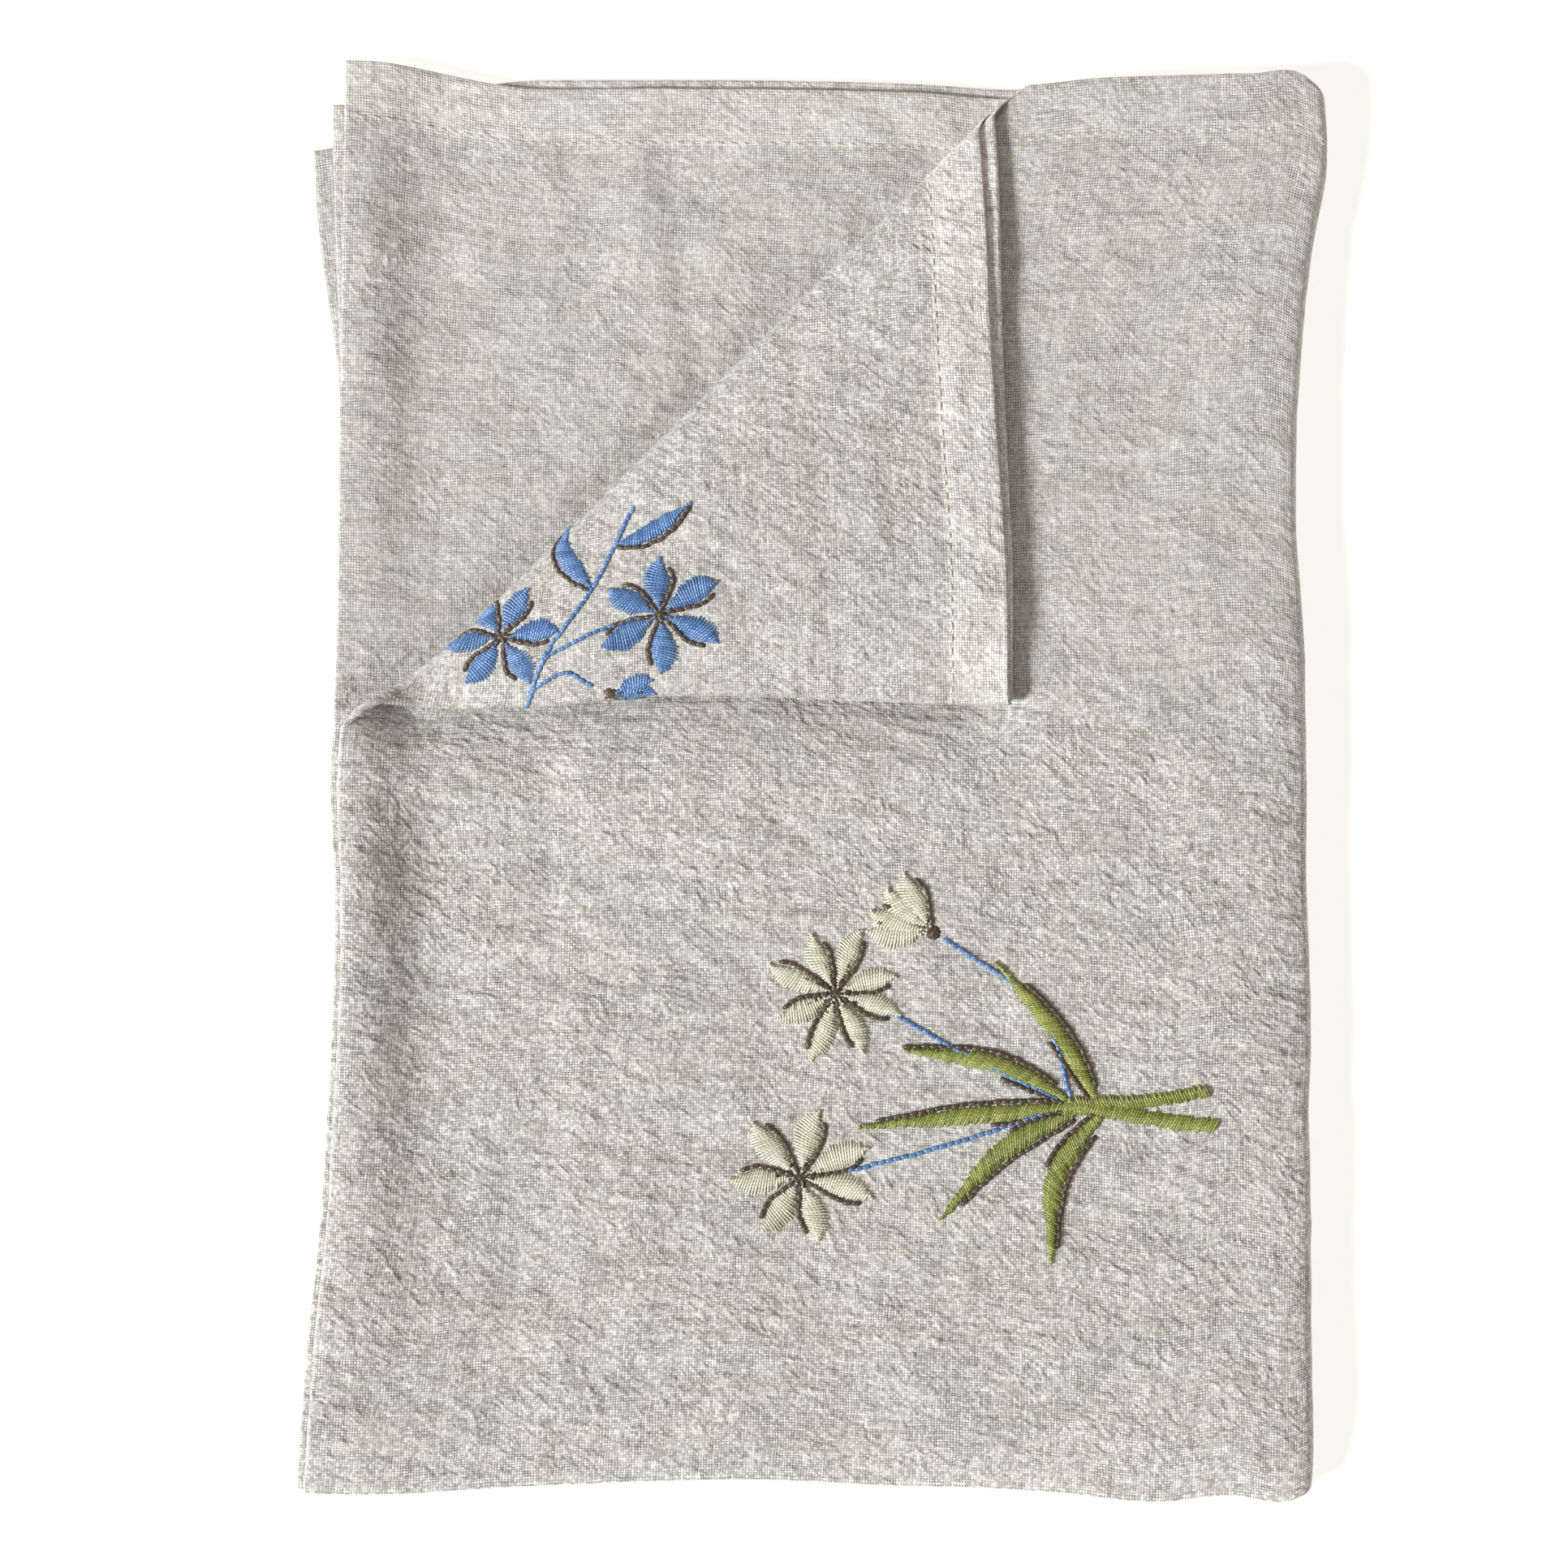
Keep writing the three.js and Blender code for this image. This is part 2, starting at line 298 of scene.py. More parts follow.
# The creases that show from above: old fold lines, and what the hand left.
CREASES = (
    # across the front below the flap
    Crease((-80.0, -32.5), (-40.0, -33.0), 2.1, -0.10),
    Crease((-40.0, -33.0), (-4.0, -34.0), 2.1, -0.07),
    Crease((-76.0, -28.6), (-30.0, -29.4), 2.2, 0.03),
    Crease((-76.0, -40.5), (-56.0, -39.0), 2.2, -0.04),
    Crease((-36.0, -19.0), (-14.0, -26.0), 2.4, -0.035),
    Crease((-84.0, -7.0), (-58.0, -11.0), 2.4, 0.03),
    Crease((-66.0, -15.5), (-36.0, -13.5), 2.4, -0.035),
    Crease((-30.0, -8.0), (0.0, -11.0), 2.6, 0.03),
    # down the front's left part
    Crease((-46.5, 7.0), (-46.8, -24.0), 2.6, -0.05),
    Crease((-46.4, -38.0), (-45.6, -88.0), 2.4, -0.035),
    Crease((-41.8, -38.0), (-41.4, -88.0), 2.4, 0.03),
    Crease((-14.0, -36.0), (-13.0, -76.0), 2.6, 0.025),
    # across the lower left
    Crease((-56.0, -98.0), (-12.0, -97.2), 2.6, 0.05),
    Crease((-58.0, -103.4), (-12.0, -102.8), 2.6, -0.055),
    Crease((-88.0, -86.5), (-52.0, -84.0), 2.8, -0.05),
    Crease((-88.0, -92.0), (-60.0, -91.0), 2.6, 0.03),
    Crease((-88.0, -110.5), (-50.0, -109.5), 2.6, -0.05),
    Crease((10.0, -112.0), (62.0, -109.0), 2.8, -0.035),
    # across the strip right of the flap
    Crease((41.0, 98.8), (86.0, 98.4), 2.2, 0.045),
    Crease((41.0, 94.8), (86.0, 94.4), 2.2, -0.05),
    Crease((46.0, 83.6), (80.0, 82.8), 2.2, 0.03),
    Crease((46.0, 79.8), (80.0, 79.0), 2.2, -0.035),
    Crease((40.0, 61.0), (82.0, 60.0), 3.0, 0.03),
    Crease((38.0, 54.5), (80.0, 55.0), 2.6, -0.03),
    # on the flap
    Crease((-14.0, 34.0), (24.0, 33.0), 4.0, -0.025),
    Crease((-2.0, 60.0), (4.0, 36.0), 2.4, -0.018),
    Crease((8.0, 72.0), (11.0, 40.0), 2.6, 0.016),
    # at the upper left
    Crease((-30.5, 112.0), (-25.0, 70.0), 2.4, 0.07),
    Crease((-26.5, 112.0), (-21.0, 72.0), 2.4, -0.07),
    Crease((-41.0, 98.0), (-42.0, 72.0), 2.4, -0.06),
    Crease((-70.0, 62.0), (-36.0, 66.0), 3.0, 0.06),
    Crease((-70.0, 55.0), (-40.0, 58.0), 3.0, -0.05),
)

# The wrinkles, from the smallest to the ones that run up the towel.
CRINKLES = (
    Crinkle(seed=11, long=4.0, short=1.4, lean=-38.0, height=0.10),
    Crinkle(seed=12, long=11.0, short=2.2, lean=-3.0, height=0.12),
    Crinkle(seed=13, long=22.0, short=6.0, lean=2.0, height=0.15),
    Crinkle(seed=15, long=14.0, short=3.6, lean=90.0, height=0.10),
)

# The slow rise and fall of the whole stack, as a share of its height.
BILLOW = Crinkle(seed=14, long=24.0, short=14.0, lean=5.0, height=0.022)


@dataclass
class FoldedCloth:
    """The towel's shape: where each point of the flat cloth comes to lie in the folded stack.

    A point of the flat cloth is given along its length, across its width and by its lift above the
    cloth's middle, on the side with the embroidery.
    """

    # the flat cloth, and how its layers lie
    length: float = 690.0
    width: float = 500.0
    layer: float = 1.0
    air: float = 0.3
    quarters: int = 4
    lowest_lift: float = -0.5
    least_full: float = 0.4
    smooth_fold: float = 6.0
    right_flatness: float = 0.35
    left_flatness: float = 0.4

    # the flap: its crease, how flat that is pressed from top to tip, and how its edges are drawn in
    flap_crease: float = 85.8
    flap_run: tuple[float, float] = (107.0, -20.0)
    flap_flatness: tuple[float, float] = (0.2, 0.36)
    flap_loft: float = 0.8
    flap_tuck: float = 6.4
    tuck_from: float = 0.5
    tuck_to: float = 0.77
    tuck_loss: float = 0.3
    flap_reach: float = 2.5
    reach_end: float = 0.45

    # the crease's bend near the flap's tip
    tip_start: float = -18.0
    tip_length: float = 30.0
    tip_bend: float = 4.4
    tip_farthest: float = 1.5

    # how far the corner at the upper left and the hems stray
    corner_across: float = 0.2
    corner_down: float = 0.25
    hem_pull_from: float = 0.7
    crease_end: float = 0.7
    crease_least: float = 0.15

    # how the crease presses the stack, and the dip beside it in the layers below
    crease_spread: float = 8.5
    crease_fuller: float = -0.19
    crease_dip: tuple[float, float] = (0.26, 0.5)
    dip_past: float = 0.8
    dip_spread: float = 4.0

    # how the flap's lower edge presses the stack, and the groove that it leaves in the layers below
    flap_edge_ends: tuple[float, float, float, float] = (-87.0, -76.0, 26.0, 40.0)
    flap_edge_spread: tuple[float, float] = (9.0, 8.0)
    flap_edge_fuller: float = -0.26
    under_edge_inset: float = 1.2
    under_edge_run: tuple[float, float] = (-60.0, -15.0)
    under_edge_depth: tuple[float, float] = (0.38, 0.25)
    under_edge_spread: tuple[float, float] = (3.4, 3.0)
    covered_depth: float = 0.16
    covered_spread: float = 12.0
    covered_from_crease: float = 6.0
    covered_in_tip: float = 0.36
    covered_tip_ends: tuple[float, float] = (-66.0, -50.0)

    # the hems, their stitch line, and the cloth's two faces and rim
    hem_depth: float = 11.0
    hem_stitch_depth: float = 9.8
    hem_step: float = 1.4
    hem_swell: float = 0.22
    stitch_groove: float = 0.22
    groove_spread: float = 0.9
    outer_lift: float = 0.5
    inner_lift: float = -0.2
    rim_round: float = 0.6

    def __post_init__(self) -> None:
        """Works out the folds and the stack that they make."""
        self.bottom = Fold(self.layer / 2, self.air)
        self.left = Fold(self.bottom.half_height, self.air)
        self.right = Fold(self.left.half_height, self.air)
        self.flap = Fold(self.left.half_height, self.air)
        self.left_to_right = (self.length / 2 - self.left.quarter - self.left.half_height) / 2
        left_reach = self.left.half_height * self.left_flatness
        self.stack_left = self.right.quarter - self.left_to_right - left_reach
        self.stack_right = self.right.half_height * self.right_flatness
        self.stack_bottom = -self.bottom.half_height
        self.stack_top = self.width / 2 - self.bottom.quarter
        self.flap_height = 2 * self.right.half_height + self.air / 2
        self.reliefs = [crinkle.relief(self.quarters) for crinkle in CRINKLES]
        self.billow = BILLOW.relief(1)

    def in_stack(self, along: Array, across: Array, lift: Array) -> tuple[Array, Array, Array, Array]:
        """Folds the cloth in half across and in four along.

        Args:
            along: The points' places along the cloth.
            across: Their places across it.
            lift: Their lifts above its middle.

        Returns:
            X, Y and Z in a straight stack, and whether each point is in its upper half.
        """
        y, pair = self.bottom.back(across - self.width / 2, lift)
        run, four = self.left.back(self.length / 2 - along, pair)
        run = np.where(run < 0.0, run * self.left_flatness, run)
        back, height = self.right.back(run - self.left_to_right, four)
        back = np.where(back < 0.0, back * self.right_flatness, back)
        return -back, y, height + self.right.half_height, run < self.left_to_right

    def strayed(self, x: Array, y: Array, z: Array, upper: Array) -> tuple[Array, Array]:
        """Moves a straight stack's points to its uneven edges.

        Args:
            x: The points' X in the straight stack.
            y: Their Y.
            z: The Z of their layer's middle.
            upper: Whether each is in the upper half.

        Returns:
            X and Y in the uneven stack.
        """
        place = (x - self.stack_left) / (self.stack_right - self.stack_left)
        height = (y - self.stack_bottom) / (self.stack_top - self.stack_bottom)
        left = smooth_curve(SIDES[:, 0], SIDES[:, 1], height)
        right = smooth_curve(SIDES[:, 0], SIDES[:, 2], height)
        bottom = smooth_curve(ENDS[:, 0], ENDS[:, 1], place)
        hems = smooth_curve(ENDS[:, 0], ENDS[:, 2], place)
        level = np.clip((z - self.layer / 2) / (self.layer + self.air), 0, len(LAYERS) - 1)
        hem, corner_up, corner_left, crease_hem = (
            np.interp(level, np.arange(len(LAYERS)), column) for column in LAYERS.T
        )
        near_corner = 1.0 - smooth_step(place, 0.0, self.corner_across)
        near_hem = smooth_step(height, self.hem_pull_from, 1.0)
        near_top = smooth_step(height, 1.0 - self.corner_down, 1.0)
        near_crease = np.clip(place / self.crease_end, 0.0, 1.0)
        near_crease = self.crease_least + (1.0 - self.crease_least) * near_crease
        near_crease = near_crease * (1.0 - smooth_step(place, self.crease_end, 1.0))
        tuck = self.flap_tuck * smooth_step(height, self.tuck_from, self.tuck_to) * (1.0 - place) ** 2
        tuck = tuck * (1.0 - self.tuck_loss * smooth_step(height, self.tuck_to, 1.0))
        reach = np.where(upper, self.flap_reach * (1.0 - smooth_step(place, 0.0, self.reach_end)), 0.0)
        up = near_hem * (hem + corner_up * near_corner + crease_hem * near_crease + reach)
        new_x = left + (right - left) * place + np.where(upper, tuck, 0.0)
        new_x = new_x - corner_left * near_corner * near_top
        return new_x, bottom + (hems - bottom) * height + up

    def past_crease(self, x: Array, y: Array) -> tuple[Array, Array]:
        """Measures how far points lie past the flap's crease, which bends near its tip.

        Args:
            x: The points' X.
            y: Their Y.

        Returns:
            The distance past the crease, and how far the crease bends there.
        """
        run = (x + y) / ROOT_TWO
        near_tip = np.clip((self.tip_start - run) / self.tip_length, 0.0, self.tip_farthest)
        bend = self.tip_bend * near_tip**2
        return (y - x - self.flap_crease) / ROOT_TWO - bend, bend

    def turned_down(self, x: Array, y: Array, z: Array, upper: Array) -> tuple[Array, Array, Array]:
        """Turns the upper half's corner down over the diagonal crease.

        Args:
            x: The points' X in the uneven stack.
            y: Their Y.
            z: Their Z.
            upper: Whether each is in the upper half.

        Returns:
            X, Y and Z with the corner turned.
        """
        past, bend = self.past_crease(x, y)
        back, height = self.flap.back(past - self.flap.quarter, self.flap_height - z - self.flap.radius)
        flatness = np.interp((x + y) / ROOT_TWO, self.flap_run[::-1], self.flap_flatness[::-1])
        turned = np.where(back < 0.0, -back * flatness, -back) + bend
        across = turned * ROOT_TWO + self.flap_crease
        moved = upper & (past > 0.0)
        new_x = np.where(moved, (x + y - across) / 2, x)
        new_y = np.where(moved, (x + y + across) / 2, y)
        flap_z = self.flap_height - height
        above_front = np.maximum(flap_z - 2 * self.right.half_height, 0.0)
        flap_z = flap_z - above_front * (1.0 - self.flap_loft)
        return new_x, new_y, np.where(moved, flap_z, z)

    def fuller(self, x: Array, y: Array) -> Array:
        """Reads how much higher or lower than even the stack is.

        Args:
            x: The points' X.
            y: Their Y.

        Returns:
            The factor on each point's height.
        """
        past, _ = self.past_crease(x, y)
        factor = 1.0 + self.crease_fuller * bell(past, self.crease_spread) + self.by_flap_edge(x, y)
        factor = factor + BILLOW.rise(self.billow, np.zeros(np.shape(x), dtype=int), x, y)
        factor = factor + smooth_curve(ROLL[:, 0], ROLL[:, 1], x) * smooth_curve(*ROLL_STRENGTH.T, y)
        for swell_x, swell_y, spread_x, spread_y, share in SWELLS:
            away = ((x - swell_x) / spread_x) ** 2 + ((y - swell_y) / spread_y) ** 2
            factor = factor + share * np.exp(-away)
        for crease in CREASES:
            factor = factor + crease.share(x, y)
        return np.maximum(factor, self.least_full)

    def along_flap_edge(self, x: Array) -> Array:
        """Reads how far the flap's lower edge is at work, from 0 past its ends to 1."""
        left_end, left_full, right_full, right_end = self.flap_edge_ends
        return smooth_step(x, left_end, left_full) * (1.0 - smooth_step(x, right_full, right_end))

    def by_flap_edge(self, x: Array, y: Array) -> Array:
        """Reads how much the flap's lower fold presses the stack down.

        Args:
            x: The points' X.
            y: Their Y.

        Returns:
            The change of each point's height, as a share.
        """
        above = y - smooth_curve(*FLAP_EDGE.T, x)
        spread = np.where(above > 0.0, *self.flap_edge_spread)
        return self.flap_edge_fuller * self.along_flap_edge(x) * bell(above, spread)

    def under_flap_edge(self, x: Array, y: Array, turned: Array, covered: Array) -> Array:
        """Reads how much the stack is drawn down under the flap's lower edge.

        Args:
            x: The points' X.
            y: Their Y.
            turned: Whether each is in the flap, where only the covered layers near the tip are.
            covered: Whether each is in a covered layer, whose few lines need a wider groove.

        Returns:
            The factor on each point's height.
        """
        above = y - smooth_curve(*FLAP_EDGE.T, x) - self.under_edge_inset
        along_edge = self.along_flap_edge(x)
        depth = np.interp(x, self.under_edge_run, self.under_edge_depth)
        spread = np.interp(x, self.under_edge_run, self.under_edge_spread)
        dip = depth * along_edge * bell(above, spread)
        past, _ = self.past_crease(x, y)
        from_crease = smooth_step(-past, 0.0, self.covered_from_crease)
        wide = (depth + self.covered_depth) * along_edge * bell(above, self.covered_spread)
        dip = np.where(covered, wide * from_crease, dip)
        in_tip = self.covered_in_tip * (1.0 - smooth_step(x, *self.covered_tip_ends))
        return 1.0 - np.where(turned, np.where(covered, in_tip, 0.0), dip)

    def by_crease(self, x: Array, y: Array, upper: Array) -> Array:
        """Reads how much the lower half is drawn down beside the flap's crease.

        Args:
            x: The points' X.
            y: Their Y.
            upper: Whether each is in the upper half, which isn't drawn down.

        Returns:
            The factor on each point's height.
        """
        past, _ = self.past_crease(x, y)
        depth = np.interp((x + y) / ROOT_TWO, self.flap_run[::-1], self.crease_dip[::-1])
        dip = depth * bell(past - self.dip_past, self.dip_spread)
        return np.where(upper, 1.0, 1.0 - dip)

    def folded(self, along: Array, across: Array, lift: Array) -> tuple[Array, Array, Array]:
        """Folds points of the cloth, before its crinkles.

        Args:
            along: The points' places along the cloth.
            across: Their places across it.
            lift: Their lifts above its middle.

        Returns:
            X, Y and Z in the folded towel.
        """
        x, y, z, upper = self.in_stack(along, across, lift)
        _, _, middle_z, _ = self.in_stack(along, across, np.zeros_like(along))
        x, y = self.strayed(x, y, middle_z, upper)
        past, _ = self.past_crease(x, y)
        x, y, z = self.turned_down(x, y, z, upper)
        turned = upper & (past > 0.0)
        covered = across > self.width / 2
        drawn_down = self.by_crease(x, y, upper) * self.under_flap_edge(x, y, turned, covered)
        return x, y, z * self.fuller(x, y) * drawn_down

    def past_on_cloth(self, along: Array, across: Array) -> Array:
        """Measures how far the cloth's points lie past the flap's crease, before it is turned.

        Args:
            along: The points' places along the cloth.
            across: Their places across it.

        Returns:
            The distances, far below 0 in the lower half of the stack.
        """
        x, y, z, upper = self.in_stack(along, across, np.zeros_like(along))
        x, y = self.strayed(x, y, z, upper)
        past, _ = self.past_crease(x, y)
        return np.where(upper, past, -self.length)

    def rise(self, along: Array, across: Array) -> Array:
        """Reads the crinkles of the half that shows.

        Args:
            along: The points' places along the cloth.
            across: Their places across it.

        Returns:
            How far the cloth rises from its even fold.
        """
        x, y, _ = self.folded(along, across, np.zeros_like(along))
        quarter = np.clip((along / self.length * self.quarters).astype(int), 0, self.quarters - 1)
        total = np.zeros_like(along)
        for crinkle, relief in zip(CRINKLES, self.reliefs):
            total += crinkle.rise(relief, quarter, x, y)
        shows = 1.0 - smooth_step(across, self.width / 2 - self.smooth_fold, self.width / 2)
        return np.clip(total, self.lowest_lift, -self.lowest_lift) * shows

    def lifts(self, along: Array, across: Array) -> tuple[Array, Array]:
        """Works out the cloth's two faces, thicker in the hems and rounded at the rim.

        Args:
            along: The points' places along the cloth.
            across: Their places across it.

        Returns:
            The lifts of the embroidered face and of the other face.
        """
        from_hem = np.minimum(across, self.width - across)
        in_hem = 1.0 - smooth_step(from_hem, self.hem_depth - self.hem_step, self.hem_depth)
        groove = self.stitch_groove * bell(from_hem - self.hem_stitch_depth, self.groove_spread)
        from_rim = np.minimum(from_hem, np.minimum(along, self.length - along))
        rounded = np.sqrt(1.0 - (1.0 - np.clip(from_rim / self.rim_round, 0.0, 1.0)) ** 2)
        middle = (self.outer_lift + self.inner_lift) / 2
        rise = self.rise(along, across)
        outer = middle + (self.outer_lift + self.hem_swell * in_hem - groove - middle) * rounded + rise
        inner = middle + (self.inner_lift - self.hem_swell * in_hem - middle) * rounded + rise
        return outer, inner

    def place(self, along: Array, across: Array, lift: Array) -> Array:
        """Places points of the cloth in the folded towel.

        Args:
            along: The points' places along the cloth.
            across: Their places across it.
            lift: Their lifts, from lifts().

        Returns:
            The points in metres, one to a row.
        """
        x, y, z = self.folded(along, across, lift)
        return np.stack((x, y, np.maximum(z, 0.0)), axis=-1) * MM


class Shade:
    """A socket in a material, on which Python's operators add Math nodes."""

    def __init__(self, tree: bpy.types.NodeTree, socket: bpy.types.NodeSocket) -> None:
        """Wraps a socket of a node tree."""
        self.tree = tree
        self.socket = socket

    def math(self, operation: str, *others: "Shade | float") -> "Shade":
        """Adds a Math node on this socket.

        Args:
            operation: The Math node's operation.
            others: Its other values or sockets.

        Returns:
            The node's result.
        """
        return combine(self.tree, operation, self, *others)

    def __add__(self, other: "Shade | float") -> "Shade":
        """Adds."""
        return self.math("ADD", other)

    def __radd__(self, other: float) -> "Shade":
        """Adds, with the number first."""
        return combine(self.tree, "ADD", other, self)

    def __sub__(self, other: "Shade | float") -> "Shade":
        """Subtracts."""
        return self.math("SUBTRACT", other)

    def __rsub__(self, other: float) -> "Shade":
        """Subtracts from a number."""
        return combine(self.tree, "SUBTRACT", other, self)

    def __mul__(self, other: "Shade | float") -> "Shade":
        """Multiplies."""
        return self.math("MULTIPLY", other)

    def __rmul__(self, other: float) -> "Shade":
        """Multiplies, with the number first."""
        return combine(self.tree, "MULTIPLY", other, self)

    def __truediv__(self, other: "Shade | float") -> "Shade":
        """Divides."""
        return self.math("DIVIDE", other)

    def __abs__(self) -> "Shade":
        """Takes the sign away."""
        return self.math("ABSOLUTE")

    def wave(self) -> "Shade":
        """Takes the sine."""
        return self.math("SINE")

    def ramp(self, low: float, high: float) -> "Shade":
        """Rises from 0 at one value to 1 at another, and stays there."""
        return ((self - low) / (high - low)).math("MINIMUM", 1.0).math("MAXIMUM", 0.0)


def combine(tree: bpy.types.NodeTree, operation: str, *values: Shade | float) -> Shade:
    """Adds a Math node.

    Args:
        tree: The material's nodes.
        operation: The node's operation.
        values: Its values or sockets.

    Returns:
        The node's result.
    """
    node = tree.nodes.new("ShaderNodeMath")
    node.operation = operation
    for index, value in enumerate(values):
        if isinstance(value, Shade):
            tree.links.new(value.socket, node.inputs[index])
        else:
            node.inputs[index].default_value = value
    return Shade(tree, node.outputs[0])


@dataclass(frozen=True)
class Grain:
    """A noise, drawn out in one direction.

    Attributes:
        long: Its size in the first direction.
        short: Its size in the other direction.
        lean: The first direction's angle, in degrees.
        detail: How many finer noises it holds.
        roughness: How strong those are.
    """

    long: float
    short: float
    lean: float = 0.0
    detail: float = 1.0
    roughness: float = 0.5


class Palette:
    """A material under construction: its nodes and its main shader."""

    def __init__(self, name: str) -> None:
        """Starts a material with an empty main shader."""
        self.material = bpy.data.materials.new(name)
        self.material.use_nodes = True
        self.tree = self.material.node_tree
        self.shader = self.tree.nodes["Principled BSDF"]

    def node(
        self,
        kind: str,
        settings: dict[str, Any] | None = None,
        inputs: dict[str | int, Any] | None = None,
        output: str | int = 0,
    ) -> Shade:
        """Adds any node but a Math node.

        Args:
            kind: The node's type.
            settings: Its settings, set first.
            inputs: The values or sockets of its inputs.
            output: Which of its outputs to give back.

        Returns:
            The chosen output.
        """
        node = self.tree.nodes.new(kind)
        for name, value in (settings or {}).items():
            setattr(node, name, value)
        for key, value in (inputs or {}).items():
            if isinstance(value, Shade):
                self.tree.links.new(value.socket, node.inputs[key])
            else:
                node.inputs[key].default_value = value
        return Shade(self.tree, node.outputs[output])

    def flat(self, layer: str) -> Shade:
        """Reads a piece's own flat coordinates."""
        return self.node("ShaderNodeUVMap", {"uv_map": layer})

    def seen_from_above(self) -> Shade:
        """Reads places in the object's own frame."""
        return self.node("ShaderNodeTexCoord", output="Object")

    def parts(self, vector: Shade) -> tuple[Shade, Shade]:
        """Splits coordinates into their first two values."""
        split = self.node("ShaderNodeSeparateXYZ", inputs={0: vector})
        return split, Shade(self.tree, split.socket.node.outputs[1])

    def stretched(self, vector: Shade, grain: Grain) -> Shade:
        """Scales coordinates so that a noise of size 1 is drawn out in one direction.

        Args:
            vector: The coordinates, in metres.
            grain: The noise's sizes.

        Returns:
            The scaled coordinates.
        """
        turned = self.node(
            "ShaderNodeVectorRotate",
            {"rotation_type": "Z_AXIS"},
            {"Vector": vector, "Angle": -math.radians(grain.lean)},
        )
        scale = (1.0 / (grain.long * MM), 1.0 / (grain.short * MM), 1.0 / (grain.short * MM))
        return self.node("ShaderNodeVectorMath", {"operation": "MULTIPLY"}, {0: turned, 1: scale})

    def warped(self, vector: Shade, grain: Grain, amount: float) -> Shade:
        """Moves coordinates about, so that what is drawn on them wanders.

        Args:
            vector: The coordinates, in metres.
            grain: The wandering's sizes.
            amount: How far it goes, as the span of its noise.

        Returns:
            The moved coordinates.
        """
        random = self.noise(vector, grain, output="Color")
        halves = {0: random, 1: (0.5, 0.5, 0.5)}
        centred = self.node("ShaderNodeVectorMath", {"operation": "SUBTRACT"}, halves)
        spans = {0: centred, 1: (amount * MM,) * 3}
        offset = self.node("ShaderNodeVectorMath", {"operation": "MULTIPLY"}, spans)
        return self.node("ShaderNodeVectorMath", {"operation": "ADD"}, {0: vector, 1: offset})

    def noise(self, vector: Shade, grain: Grain, output: str | int = 0) -> Shade:
        """Adds a noise.

        Args:
            vector: The coordinates, in metres.
            grain: Its sizes.
            output: Which of its outputs to give back.

        Returns:
            The noise, about 0.5.
        """
        inputs = {
            "Vector": self.stretched(vector, grain),
            "Scale": 1.0,
            "Detail": grain.detail,
            "Roughness": grain.roughness,
        }
        return self.node("ShaderNodeTexNoise", inputs=inputs, output=output)

    def mix(
        self,
        share: Shade | float,
        first: Shade | Colour,
        second: Shade | Colour,
        blend: str = "MIX",
    ) -> Shade:
        """Mixes two colours.

        Args:
            share: How much of the second.
            first: The first colour.
            second: The second colour.
            blend: How they are mixed.

        Returns:
            The mixed colour.
        """
        colours = [value if isinstance(value, Shade) else (*value, 1.0) for value in (first, second)]
        settings = {"data_type": "RGBA", "blend_type": blend, "clamp_factor": False}
        return self.node("ShaderNodeMix", settings, {0: share, 6: colours[0], 7: colours[1]}, output=2)

    def grey(self, value: Shade) -> Shade:
        """Makes a colour of three equal values."""
        return self.node("ShaderNodeCombineColor", inputs={0: value, 1: value, 2: value})

    def set(self, **sockets: Any) -> None:
        """Sets or links sockets of the main shader, spaces in their names written as underscores."""
        for name, value in sockets.items():
            socket = self.shader.inputs[name.replace("_", " ")]
            if isinstance(value, Shade):
                self.tree.links.new(value.socket, socket)
            else:
                socket.default_value = value

    def bump(self, height: Shade) -> Shade:
        """Turns a height in metres into a normal."""
        return self.node("ShaderNodeBump", inputs={"Strength": 1.0, "Distance": 1.0, "Height": height})


FLAT_LAYER = "flat"


